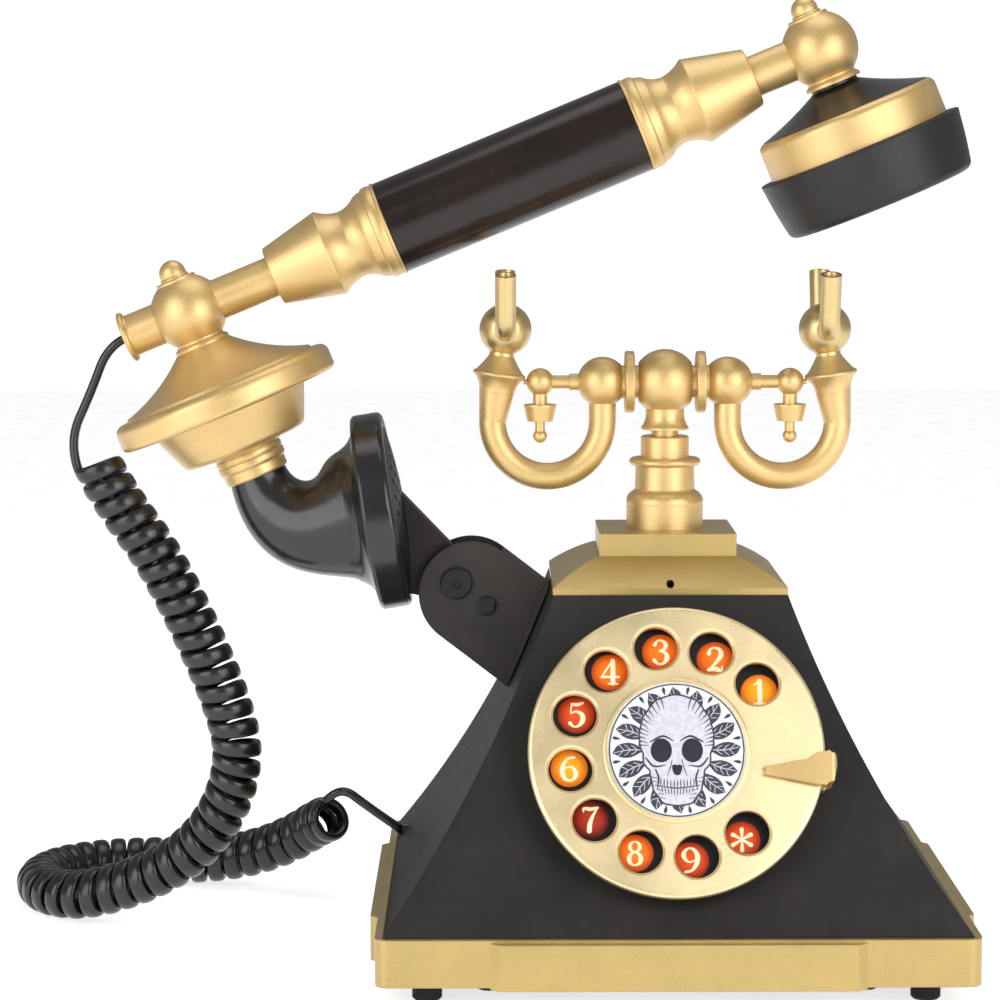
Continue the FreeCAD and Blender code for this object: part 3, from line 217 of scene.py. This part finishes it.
GOLD = (0.68, 0.465, 0.175)
MATERIALS = {
    "satin_gold": metal_paint("satin_gold", GOLD, 0.74, 0.44, 1400, 0.22),
    "plinth_gold": metal_paint("plinth_gold", (0.50, 0.35, 0.105), 0.72, 0.43, 1100, 0.5, 0.0008),
    "dial_gold": metal_paint("dial_gold", (0.86, 0.69, 0.38), 0.80, 0.34, 1300, 0.12, 0.0004),
    "fork_brass": metal_paint("fork_brass", (0.60, 0.45, 0.19), 0.85, 0.34, 900, 0.14),
    "body_black": moulded("body_black", (0.0165, 0.0140, 0.0135), 0.6, 1500, 0.6, edge=0.0012),
    "black_abs": moulded("black_abs", (0.010, 0.010, 0.010), 0.5, 1200, 0.25),
    "foot_rubber": moulded("foot_rubber", (0.010, 0.010, 0.010), 0.75, 900, 0.4),
    "dark_sensor": moulded("dark_sensor", (0.005, 0.005, 0.005), 0.25, 600, 0.1, coat=0.3),
    "bracket_black": moulded("bracket_black", (0.027, 0.0225, 0.0205), 0.5, 1400, 0.35, edge=0.0005),
    "arm_black": moulded("arm_black", (0.018, 0.012, 0.010), 0.45, 1200, 0.3, edge=0.0004),
    "grip_black": moulded("grip_black", (0.015, 0.0095, 0.0085), 0.2, 250, 0.03, shine=0.4),
    "horn_black": moulded("horn_black", (0.013, 0.0120, 0.0125), 0.2, 300, 0.04, shine=0.6),
    "grille_black": moulded("grille_black", (0.009, 0.009, 0.009), 0.4, 900, 0.2),
    "cone_black": moulded("cone_black", (0.010, 0.0085, 0.008), 0.2, 300, 0.04, shine=0.45),
    "ear_black": moulded("ear_black", (0.019, 0.0165, 0.0165), 0.38, 1300, 0.3),
    "cord_black": moulded("cord_black", (0.008, 0.0075, 0.009), 0.26, 700, 0.06, edge=0, shine=0.6),
    "dark_screw": moulded("dark_screw", (0.010, 0.010, 0.010), 0.4, 700, 0.2),
    "spring_steel": brushed("spring_steel", (0.55, 0.55, 0.56), 0.28),
    "motor_steel": brushed("motor_steel", (0.45, 0.45, 0.46), 0.32),
    "cell_jacket": printed("cell_jacket", (0.03, 0.10, 0.04), (0.30, 0.24, 0.05), 60),
    "board_green": printed("board_green", (0.01, 0.07, 0.03), (0.02, 0.11, 0.05), 400, 0.3),
    "medallion_print": printed("medallion_print", (0.78, 0.79, 0.83), (0.70, 0.71, 0.77), 500, 0.4),
    # The lens slot gets the same painted glow and painted shade as the number discs.
    "amber_lens": disc_paint("amber_lens", (0.75, 0.10, 0.02), (0.12, 0.01, 0.005), 0.2),
}
slot_of = {part["node"]: part["material_slot"] for part in frame["record"]["subparts"]}
for node_name, thing in NODES.items():
    thing.data.materials.clear()
    thing.data.materials.append(MATERIALS[slot_of[node_name]])


# ---------------------------------------------------------------- meshes

def mesh_object(name, vertices, faces, material, smooth=True, place=None):
    """An object of one mesh and one material, linked to the scene."""
    mesh = bpy.data.meshes.new(name)
    mesh.from_pydata([tuple(point) for point in vertices], [], faces)
    mesh.update()
    if smooth:
        mesh.shade_smooth()
    mesh.materials.append(material)
    made = bpy.data.objects.new(name, mesh)
    bpy.context.scene.collection.objects.link(made)
    if place:
        made.matrix_world = place
    return made


def smooth_line(points, steps=8):
    """Points of a smooth line through the given (x, y, width) rows."""
    rows = [Vector(point) for point in points]
    rows = [rows[0] * 2 - rows[1]] + rows + [rows[-1] * 2 - rows[-2]]
    line = []
    for a, b, c, d in zip(rows, rows[1:], rows[2:], rows[3:]):
        for step in range(steps):
            t = step / steps
            line.append(0.5 * (2 * b + (c - a) * t + (2 * a - 5 * b + 4 * c - d) * t * t
                               + (3 * b - a - 3 * c + d) * t ** 3))
    line.append(rows[-2])
    return line


THINNEST_STROKE = 0.009
PRINT_LIFT = 0.06 * MM
STROKE_LAYER = 0.004 * MM


def ribbon(line):
    """Flat stroke round a line of (x, y, width), with half-round ends: vertices and faces."""
    vertices, faces = [], []
    for index, row in enumerate(line):
        before, after = line[max(0, index - 1)], line[min(len(line) - 1, index + 1)]
        way = Vector((after.x - before.x, after.y - before.y)).normalized()
        half = max(row.z, THINNEST_STROKE) / 2
        vertices.append((row.x - way.y * half, row.y + way.x * half, 0))
        vertices.append((row.x + way.y * half, row.y - way.x * half, 0))
    for index in range(len(line) - 1):
        k = index * 2
        faces.append((k, k + 1, k + 3, k + 2))
    for row in (line[0], line[-1]):
        start = len(vertices)
        half = max(row.z, THINNEST_STROKE) / 2
        turns = [2 * math.pi * k / 16 for k in range(16)]
        vertices.extend((row.x + half * math.cos(t), row.y + half * math.sin(t), 0) for t in turns)
        faces.append(tuple(range(start, start + 16)))
    return vertices, faces


def strokes_mesh(name, strokes, material, place, size, height):
    """One mesh of flat strokes, scaled to a size and laid at the height of what is under them.

    Strokes that cross lie in thin layers, so that none is level with another.
    """
    vertices, faces = [], []
    for rank, stroke in enumerate(strokes):
        more, quads = ribbon(smooth_line(stroke))
        start = len(vertices)
        for x, y, _ in more:
            layer = STROKE_LAYER * (rank % 6)
            vertices.append((x * size, y * size, height(x * size, y * size) + PRINT_LIFT + layer))
        faces.extend(tuple(index + start for index in face) for face in quads)
    return mesh_object(name, vertices, faces, material, smooth=False, place=place)


# ---------------------------------------------------------------- cord

def nurbs_line(points):
    """The smooth line of a NURBS route whose control points are given in millimetres."""
    curve = bpy.data.curves.new("route", "CURVE")
    curve.dimensions = "3D"
    curve.resolution_u = 24
    spline = curve.splines.new("NURBS")
    spline.points.add(len(points) - 1)
    for spot, point in zip(spline.points, points):
        spot.co = (*(Vector(point) * MM), 1)
    spline.order_u = 3
    spline.use_endpoint_u = True
    route = bpy.data.objects.new("route", curve)
    mesh = bpy.data.meshes.new_from_object(route)
    line = [vertex.co.copy() for vertex in mesh.vertices]
    bpy.data.objects.remove(route)
    bpy.data.curves.remove(curve)
    bpy.data.meshes.remove(mesh)
    return line


def along(line):
    """Distance of every point of a line from its start."""
    reach = [0.0]
    for before, after in zip(line, line[1:]):
        reach.append(reach[-1] + (after - before).length)
    return reach


def squared(direction, tangent):
    """The direction made square to a tangent."""
    return (direction - tangent * direction.dot(tangent)).normalized()


def carried_frames(line):
    """Tangent and two cross directions at every point, carried along without twist."""
    tangents = []
    for index in range(len(line)):
        tangents.append((line[min(index + 1, len(line) - 1)] - line[max(index - 1, 0)]).normalized())
    side = tangents[0].orthogonal().normalized()
    frames = []
    for before, tangent in zip([tangents[0]] + tangents, tangents):
        side = before.rotation_difference(tangent) @ side
        side = squared(side, tangent)
        frames.append((tangent, side, tangent.cross(side)))
    return frames


def sampled(line, frames, reach, distance):
    """Place and frame at a distance along the line."""
    low = max(0, min(len(line) - 2, next(k for k, r in enumerate(reach[1:]) if r >= distance - 1e-9)))
    share = (distance - reach[low]) / max(reach[low + 1] - reach[low], 1e-9)
    spot = line[low].lerp(line[low + 1], share)
    axes = [a.lerp(b, share).normalized() for a, b in zip(frames[low], frames[low + 1])]
    return spot, axes


CORD_WIDE = 6.0 * MM
LEAD_WIDE = 4.2 * MM
CORD_FLAT = 3.2 * MM
COIL_OUTER = 9.0 * MM
COIL_PITCH = 6.85 * MM
PATH_STEP = 0.9 * MM
WIND_IN = 2.5 * MM
WIND_OUT = 2.0 * MM
START_SHARE = 0.2 * MM
SPREAD = 5 * MM
WIDTH_REACH = 9
OVAL_POWER = 0.8


def smooth_step(value):
    value = max(0.0, min(1.0, value))
    return value * value * (3 - 2 * value)


def blended(start, end, share):
    return start + (end - start) * share


def wound(line, start, end):
    """Helix round a line that sets out along it from start and comes back to end.

    Gives the points, the directions away from the line and how tightly each is wound.
    """
    reach, frames = along(line), carried_frames(line)
    total = reach[-1]
    radius = COIL_OUTER - CORD_FLAT / 2

    def polar_of(point, index):
        away = point - line[index]
        _, side, up = frames[index]
        return math.hypot(away.dot(side), away.dot(up)), math.atan2(away.dot(up), away.dot(side))

    first_radius, first_angle = polar_of(start, 0)
    last_radius, last_angle = polar_of(end, -1)
    slope = COIL_PITCH / (2 * math.pi * radius)
    distance, angle = 0.0, 0.0
    rows = []
    while distance < total:
        tight = smooth_step(min((distance + START_SHARE) / WIND_IN, (total - distance) / WIND_OUT))
        rows.append((distance, angle, tight))
        angle -= PATH_STEP * tight / radius
        distance += PATH_STEP * (1 - tight + tight * slope)
    turned = (last_angle - first_angle - rows[-1][1]) % (2 * math.pi)
    if turned > math.pi:
        turned -= 2 * math.pi
    points, outwards, tights = [], [], []
    for distance, angle, tight in rows:
        spot, (_, side, up) = sampled(line, frames, reach, distance)
        turn = first_angle + angle + turned * distance / total
        out = side * math.cos(turn) + up * math.sin(turn)
        size = blended(first_radius, radius, smooth_step(distance / SPREAD))
        size = blended(last_radius, size, smooth_step((total - distance) / SPREAD))
        points.append(spot + out * size)
        outwards.append(out)
        tights.append(tight)
    return points, outwards, tights


def curly_path():
    """Centreline of the whole cord with the flat section's outward direction and width."""
    upper, lower = nurbs_line(UPPER_LEAD), nurbs_line(LOWER_LEAD)
    coil, outwards, tights = wound(nurbs_line(COIL_ROUTE), upper[-1], lower[0])
    path = upper[0:-2:3] + coil + lower[2::3] + [lower[-1]]
    before, after = len(upper[0:-2:3]), len(lower[2::3]) + 1
    tights = [0.0] * before + tights + [0.0] * after
    outwards = [None] * before + outwards + [None] * after
    tangents = [frame[0] for frame in carried_frames(path)]
    for index in range(before - 1, -1, -1):
        outwards[index] = squared(outwards[index + 1], tangents[index])
    for index in range(len(path) - after, len(path)):
        outwards[index] = squared(outwards[index - 1], tangents[index])
    widths = []
    for index in range(len(path)):
        near_ones = tights[max(0, index - WIDTH_REACH):index + WIDTH_REACH + 1]
        widths.append(blended(LEAD_WIDE, CORD_WIDE, sum(near_ones) / len(near_ones)))
    return path, tangents, outwards, widths


def flat_tube(name, path, tangents, outwards, widths, material, sides=14):
    """Cord with a flat oval section whose thin way points outwards."""
    vertices, faces = [], []
    for spot, tangent, out, wide in zip(path, tangents, outwards, widths):
        thin = squared(out, tangent)
        broad = tangent.cross(thin)
        for k in range(sides):
            angle = 2 * math.pi * k / sides
            across = math.copysign(abs(math.cos(angle)) ** OVAL_POWER, math.cos(angle))
            depth = math.copysign(abs(math.sin(angle)) ** OVAL_POWER, math.sin(angle))
            vertices.append(spot + broad * across * wide / 2 + thin * depth * CORD_FLAT / 2)
    for ring in range(len(path) - 1):
        for k in range(sides):
            low, high = ring * sides, (ring + 1) * sides
            faces.append((low + k, low + (k + 1) % sides, high + (k + 1) % sides, high + k))
    faces.append(tuple(range(sides - 1, -1, -1)))
    faces.append(tuple(range(len(path) * sides - sides, len(path) * sides)))
    return mesh_object(name, vertices, faces, material)


cord_path, cord_tangents, cord_outwards, cord_widths = curly_path()
cord = flat_tube("curly_cord", cord_path, cord_tangents, cord_outwards, cord_widths,
                 MATERIALS["cord_black"])
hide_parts("cord_lead_handset", "cord_coil", "cord_lead_body")
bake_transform(cord)


# ---------------------------------------------------------------- dial print

def dial_place(x, y, depth):
    """Place on the dial: X to the right and Y up its face, depth along its axis."""
    tilt = Euler((math.pi / 2 - DIAL_TILT, 0, 0)).to_matrix().to_4x4()
    return Matrix.Translation(DIAL_CENTRE) @ tilt @ Matrix.Translation(Vector((x, y, depth)))


SIX = [[(0.2, 0.44, 0.1), (-0.05, 0.38, 0.1), (-0.23, 0.12, 0.17), (-0.27, -0.18, 0.19),
        (-0.14, -0.42, 0.13), (0.04, -0.48, 0.08), (0.2, -0.38, 0.13), (0.26, -0.2, 0.18),
        (0.16, 0.0, 0.11), (0.0, 0.06, 0.06), (-0.18, -0.02, 0.05)]]


def ring_stroke(x, y, radius, thin, thick):
    """Closed loop, thickest at its sides."""
    return [(x + radius * math.cos(a), y + radius * 1.05 * math.sin(a),
             thin + (thick - thin) * math.cos(a) ** 2)
            for a in (2 * math.pi * k / 12 for k in range(13))]


def petals(count):
    """Strokes that widen outwards from one middle."""
    return [[(0, 0, 0.06), (0.26 * math.cos(a), 0.26 * math.sin(a), 0.12),
             (0.4 * math.cos(a), 0.4 * math.sin(a), 0.17)]
            for a in (math.pi / 2 + 2 * math.pi * k / count for k in range(count))]


NUMERALS = [
    ("numeral_1", [[(0.02, 0.47, 0.18), (0.02, 0, 0.18), (0.02, -0.44, 0.18)],
                   [(-0.2, 0.3, 0.05), (-0.08, 0.38, 0.09), (0.02, 0.47, 0.14)],
                   [(-0.2, -0.45, 0.07), (0.02, -0.45, 0.09), (0.24, -0.45, 0.07)]]),
    ("numeral_2", [[(-0.24, 0.24, 0.17), (-0.17, 0.42, 0.08), (0.02, 0.47, 0.09), (0.21, 0.36, 0.16),
                    (0.22, 0.16, 0.19), (0.06, -0.1, 0.13), (-0.24, -0.4, 0.06)],
                   [(-0.26, -0.41, 0.13), (0, -0.38, 0.18), (0.22, -0.44, 0.13), (0.28, -0.26, 0.04)]]),
    ("numeral_3", [[(-0.22, 0.3, 0.15), (-0.12, 0.45, 0.07), (0.04, 0.47, 0.09), (0.2, 0.33, 0.17),
                    (0.16, 0.13, 0.13), (-0.04, 0.04, 0.05)],
                   [(-0.04, 0.04, 0.05), (0.18, -0.03, 0.12), (0.25, -0.24, 0.2), (0.1, -0.45, 0.1),
                    (-0.1, -0.47, 0.08), (-0.25, -0.33, 0.15)]]),
    ("numeral_4", [[(0.1, 0.46, 0.06), (-0.12, 0.12, 0.07), (-0.32, -0.18, 0.06)],
                   [(-0.32, -0.19, 0.09), (0, -0.19, 0.09), (0.34, -0.19, 0.09)],
                   [(0.12, 0.46, 0.18), (0.12, 0, 0.18), (0.12, -0.44, 0.18)],
                   [(-0.06, -0.46, 0.06), (0.12, -0.46, 0.07), (0.3, -0.46, 0.06)]]),
    ("numeral_5", [[(-0.16, 0.42, 0.12), (0.04, 0.4, 0.14), (0.25, 0.47, 0.1)],
                   [(-0.18, 0.42, 0.06), (-0.21, 0.22, 0.06), (-0.22, 0.05, 0.05)],
                   [(-0.22, 0.05, 0.05), (0.0, 0.12, 0.09), (0.22, 0.0, 0.17), (0.24, -0.24, 0.19),
                    (0.08, -0.44, 0.1), (-0.11, -0.47, 0.07), (-0.25, -0.34, 0.15)]]),
    ("numeral_6", SIX),
    ("numeral_7", [[(-0.27, 0.28, 0.05), (-0.25, 0.42, 0.11), (0, 0.39, 0.15), (0.28, 0.45, 0.1)],
                   [(0.28, 0.44, 0.05), (0.1, 0.14, 0.11), (-0.02, -0.18, 0.17), (-0.05, -0.46, 0.19)]]),
    ("numeral_8", [ring_stroke(0, 0.24, 0.19, 0.07, 0.15), ring_stroke(0, -0.23, 0.23, 0.07, 0.18)]),
    ("numeral_9", [[(-x, -y, w) for x, y, w in SIX[0]]]),
    ("star_mark", petals(6)),
]

# The numerals carry a painted glow that makes them look brighter on the discs.
cream = lit(moulded("numeral_cream", (0.95, 0.86, 0.60), 0.5, 700, 0.1, edge=0), (1.0, 0.82, 0.45), 0.35)
# Number discs, each with a painted glow and painted shade; the darker tones glow less.
DISCS = {"amber": disc_paint("disc_amber", (0.86, 0.30, 0.010), (0.60, 0.10, 0.005), 0.45),
         "orange": disc_paint("disc_orange", (0.78, 0.15, 0.008), (0.45, 0.045, 0.005), 0.4),
         "red": disc_paint("disc_red", (0.62, 0.065, 0.010), (0.30, 0.018, 0.005), 0.35),
         "deep": disc_paint("disc_deep", (0.36, 0.025, 0.010), (0.05, 0.006, 0.004), 0.25)}
LEVELS = ["amber", "orange", "orange", "orange", "red", "amber", "deep", "orange", "red", "red"]


def domed(name, outline, height, material, place, rings=8):
    """Thin shape with a star-shaped outline (a radius for every angle) and a height for every point."""
    sides = 96
    vertices = [(0, 0, height(0, 0))]
    for ring in range(1, rings + 1):
        for k in range(sides):
            angle = 2 * math.pi * k / sides
            reach = outline(angle) * ring / rings
            x, y = reach * math.cos(angle), reach * math.sin(angle)
            vertices.append((x, y, height(x, y)))
    faces = [(0, 1 + k, 1 + (k + 1) % sides) for k in range(sides)]
    for ring in range(rings - 1):
        low, high = 1 + ring * sides, 1 + (ring + 1) * sides
        faces.extend((low + k, high + k, high + (k + 1) % sides, low + (k + 1) % sides)
                     for k in range(sides))
    return mesh_object(name, vertices, faces, material, place=place)


DISC_RADIUS = 6.2 * MM
DISC_RISE = 0.72 * MM
NUMERAL_HEIGHT = 8.6 * MM


def disc_height(x, y):
    return DISC_RISE * (1 - (x * x + y * y) / DISC_RADIUS ** 2)


for index, (numeral, strokes) in enumerate(NUMERALS):
    angle = HOLE_FIRST + index * HOLE_STEP - NUMBERS_TURNED_BACK
    here = dial_place(HOLE_CIRCLE * math.cos(angle), HOLE_CIRCLE * math.sin(angle), LENS_TOP)
    disc = domed("number_disc_%d" % (index + 1), lambda _: DISC_RADIUS, disc_height,
                 DISCS[LEVELS[index]], here)
    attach(disc, "base")
    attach(strokes_mesh(numeral, strokes, cream, here, NUMERAL_HEIGHT, disc_height), "base")


# ---------------------------------------------------------------- medallion

MEDALLION = dial_place(0, 0, MEDALLION_TOP)
ink = moulded("medallion_ink", (0.045, 0.048, 0.065), 0.5, 700, 0.05, edge=0)
bone = printed("medallion_bone", (0.64, 0.62, 0.69), (0.56, 0.54, 0.62), 700, 0.45)
socket_ink = moulded("medallion_shade", (0.02, 0.02, 0.03), 0.6, 700, 0.05, edge=0)


def flat(x, y):
    """Height of a level ground."""
    return 0.0


def polar(angle, reach, width):
    """Point of a stroke at an angle and a distance from the middle."""
    return (reach * math.cos(angle), reach * math.sin(angle), width)


LEAVES = 16
leaves, ribs = [], []
for k in range(LEAVES):
    turn = 2 * math.pi * k / LEAVES
    leaves.append([polar(turn, 0.50, 0.05), polar(turn, 0.66, 0.21), polar(turn + 0.02, 0.82, 0.19),
                   polar(turn + 0.05, 0.93, 0.01)])
    between = turn + math.pi / LEAVES
    leaves.append([polar(between, 0.84, 0.015), polar(between, 0.91, 0.05), polar(between, 0.95, 0.01)])
    ribs.append([polar(turn, 0.50, 0.010), polar(turn, 0.70, 0.014), polar(turn + 0.045, 0.91, 0.006)])
    for side in (-1, 1):
        for low in (0.57, 0.67, 0.77):
            ribs.append([polar(turn, low, 0.008), polar(turn + side * 0.07, low + 0.05, 0.010),
                         polar(turn + side * 0.10, low + 0.09, 0.004)])
leaves.append([polar(2 * math.pi * k / 24, 0.975, 0.02) for k in range(25)])
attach(strokes_mesh("medallion_leaves", leaves, ink, MEDALLION, MEDALLION_RADIUS, flat), "dial")
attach(strokes_mesh("medallion_ribs", ribs, bone, MEDALLION, MEDALLION_RADIUS,
                     lambda x, y: PRINT_LIFT), "dial")

# The emblem's outline: pairs of an angle above the level, in degrees, and a share of the radius.
EMBLEM = [(90, 0.82), (70, 0.79), (50, 0.70), (30, 0.61), (12, 0.55), (-8, 0.49), (-22, 0.52), (-38, 0.50),
          (-52, 0.60), (-64, 0.72), (-76, 0.81), (-90, 0.82)]


def emblem_outline(angle):
    """Radius of the emblem's outline at an angle; it is the same on both sides."""
    degrees = math.degrees(math.asin(math.sin(angle)))
    for (high, radius), (low, following) in zip(EMBLEM, EMBLEM[1:]):
        if low <= degrees <= high:
            share = smooth_step((high - degrees) / (high - low))
            return blended(radius, following, share) * MEDALLION_RADIUS
    return EMBLEM[-1][1] * MEDALLION_RADIUS


def emblem_height(x, y):
    share = math.hypot(x, y) / emblem_outline(math.atan2(y, x))
    return (0.12 + 0.42 * (1 - min(1.0, share) ** 2)) * MM


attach(domed("medallion_emblem", emblem_outline, emblem_height, bone, MEDALLION, 14), "dial")
lines = []
for side in (-1, 1):
    lines.append([(side * 0.05, 0.13, 0.012), (side * 0.20, 0.20, 0.03), (side * 0.38, 0.12, 0.02)])
    lines.append([(side * 0.45, -0.12, 0.02), (side * 0.34, -0.24, 0.03), (side * 0.17, -0.23, 0.012)])
    lines.append([(side * 0.31, -0.29, 0.02), (side * 0.27, -0.42, 0.03), (side * 0.29, -0.58, 0.012)])
    lines.append([(side * 0.07, -0.15, 0.010), (side * 0.10, -0.27, 0.014), (side * 0.14, -0.38, 0.006)])
    for k in range(12):
        turn = math.radians(8 + 6 * k)
        x, y = math.cos(turn) * side, math.sin(turn)
        edge = emblem_outline(turn) / MEDALLION_RADIUS
        lines.append([(x * edge * 0.97, y * edge * 0.97, 0.020), (x * edge * 0.88, y * edge * 0.89, 0.014),
                      (x * edge * (0.76 + 0.03 * (k % 3)), y * edge * 0.80, 0.004)])
    for k in range(6):
        drop = -0.40 - 0.06 * k
        lines.append([(side * (0.37 - 0.026 * k), drop, 0.014),
                      (side * (0.30 - 0.026 * k), drop - 0.02, 0.004)])
for k in range(-5, 6):
    lift = 0.006 * k * k / 5
    lines.append([(k * 0.047, -0.45 + lift, 0.006), (k * 0.048, -0.50 + lift, 0.016),
                  (k * 0.048, -0.55 + lift, 0.010)])
    lines.append([(k * 0.045, -0.58 + lift, 0.010), (k * 0.044, -0.62 + lift, 0.014),
                  (k * 0.042, -0.66 + lift, 0.005)])
lines.append([(-0.27, -0.53, 0.012), (0, -0.565, 0.02), (0.27, -0.53, 0.012)])
lines.append([polar(turn, emblem_outline(turn) / MEDALLION_RADIUS, 0.024)
              for turn in (2 * math.pi * k / 48 for k in range(49))])
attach(strokes_mesh("medallion_lines", lines, ink, MEDALLION, MEDALLION_RADIUS, emblem_height), "dial")


def medallion_shade(name, x, y, outline):
    """Dark hollow painted on the emblem round one point."""
    spot = (x * MEDALLION_RADIUS, y * MEDALLION_RADIUS)
    shade = domed(name, outline, lambda u, v: emblem_height(u + spot[0], v + spot[1]) + 0.09 * MM,
                  socket_ink, MEDALLION @ Matrix.Translation((*spot, 0)), 4)
    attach(shade, "dial")


for side, label in ((-1, "left"), (1, "right")):
    medallion_shade("medallion_shade_" + label, side * 0.225, -0.01,
                    lambda turn: (0.165 - 0.012 * math.cos(2 * turn)) * MEDALLION_RADIUS)
medallion_shade("medallion_shade_middle", 0, -0.27,
                lambda turn: (0.075 - 0.022 * math.sin(turn)
                              + 0.012 * math.sin(3 * turn)) * MEDALLION_RADIUS)


# ---------------------------------------------------------------- stage, lights and camera

floor_paint = lit(moulded("floor_paper", (0.8, 0.8, 0.8), 0.9, 900, 0.0, edge=0, shine=0.05),
                  (1, 1, 1), 0.72)
floor_size = 3.0
floor = mesh_object("floor", [(-floor_size, -floor_size, 0), (floor_size, -floor_size, 0),
                              (floor_size, floor_size, 0), (-floor_size, floor_size, 0)],
                    [(0, 1, 2, 3)], floor_paint)

world = bpy.data.worlds.new("studio")
world.use_nodes = True
nodes, links = world.node_tree.nodes, world.node_tree.links
soft = nodes["Background"]
soft.inputs["Color"].default_value = (1, 1, 1, 1)
soft.inputs["Strength"].default_value = 0.28
paper = nodes.new("ShaderNodeBackground")
paper.inputs["Color"].default_value = (1, 1, 1, 1)
paper.inputs["Strength"].default_value = 1.05
rays = nodes.new("ShaderNodeLightPath")
backdrop = nodes.new("ShaderNodeMixShader")
links.new(rays.outputs["Is Camera Ray"], backdrop.inputs[0])
links.new(soft.outputs[0], backdrop.inputs[1])
links.new(paper.outputs[0], backdrop.inputs[2])
links.new(backdrop.outputs[0], nodes["World Output"].inputs["Surface"])
bpy.context.scene.world = world
bpy.context.scene.view_settings.view_transform = "Standard"


def softbox(name, spot, aim, size, power, height=None):
    """Area light at a spot, aimed at a point; square unless a height is given."""
    light = bpy.data.lights.new(name, "AREA")
    light.energy = power
    light.size = size
    if height:
        light.shape = "RECTANGLE"
        light.size_y = height
    made = bpy.data.objects.new(name, light)
    bpy.context.scene.collection.objects.link(made)
    made.location = spot
    made.rotation_euler = (Vector(aim) - Vector(spot)).to_track_quat("-Z", "Y").to_euler()
    return made


middle = (-0.05, 0, 0.17)
softbox("left_box", (-0.95, -0.95, 0.45), middle, 1.0, 10, 1.1)
softbox("right_box", (0.80, -0.95, 0.45), middle, 0.9, 9, 1.1)
softbox("top_light", (0.0, 0.1, 1.4), middle, 1.0, 5)
softbox("dial_light", (0.15, -0.50, 0.30), (0.045, -0.085, 0.09), 0.16, 0.24).visible_camera = False

camera_data = bpy.data.cameras.new("camera")
camera_data.lens = 116.3
camera_data.sensor_width = 36
camera_data.clip_start = 0.05
camera_data.clip_end = 50
camera = bpy.data.objects.new("camera", camera_data)
bpy.context.scene.collection.objects.link(camera)
camera.location = Vector((-60.9, -1138.4, 272.3)) * MM
camera.rotation_euler = [math.radians(angle) for angle in (84.29, 0.09, -0.14)]
bpy.context.scene.camera = camera
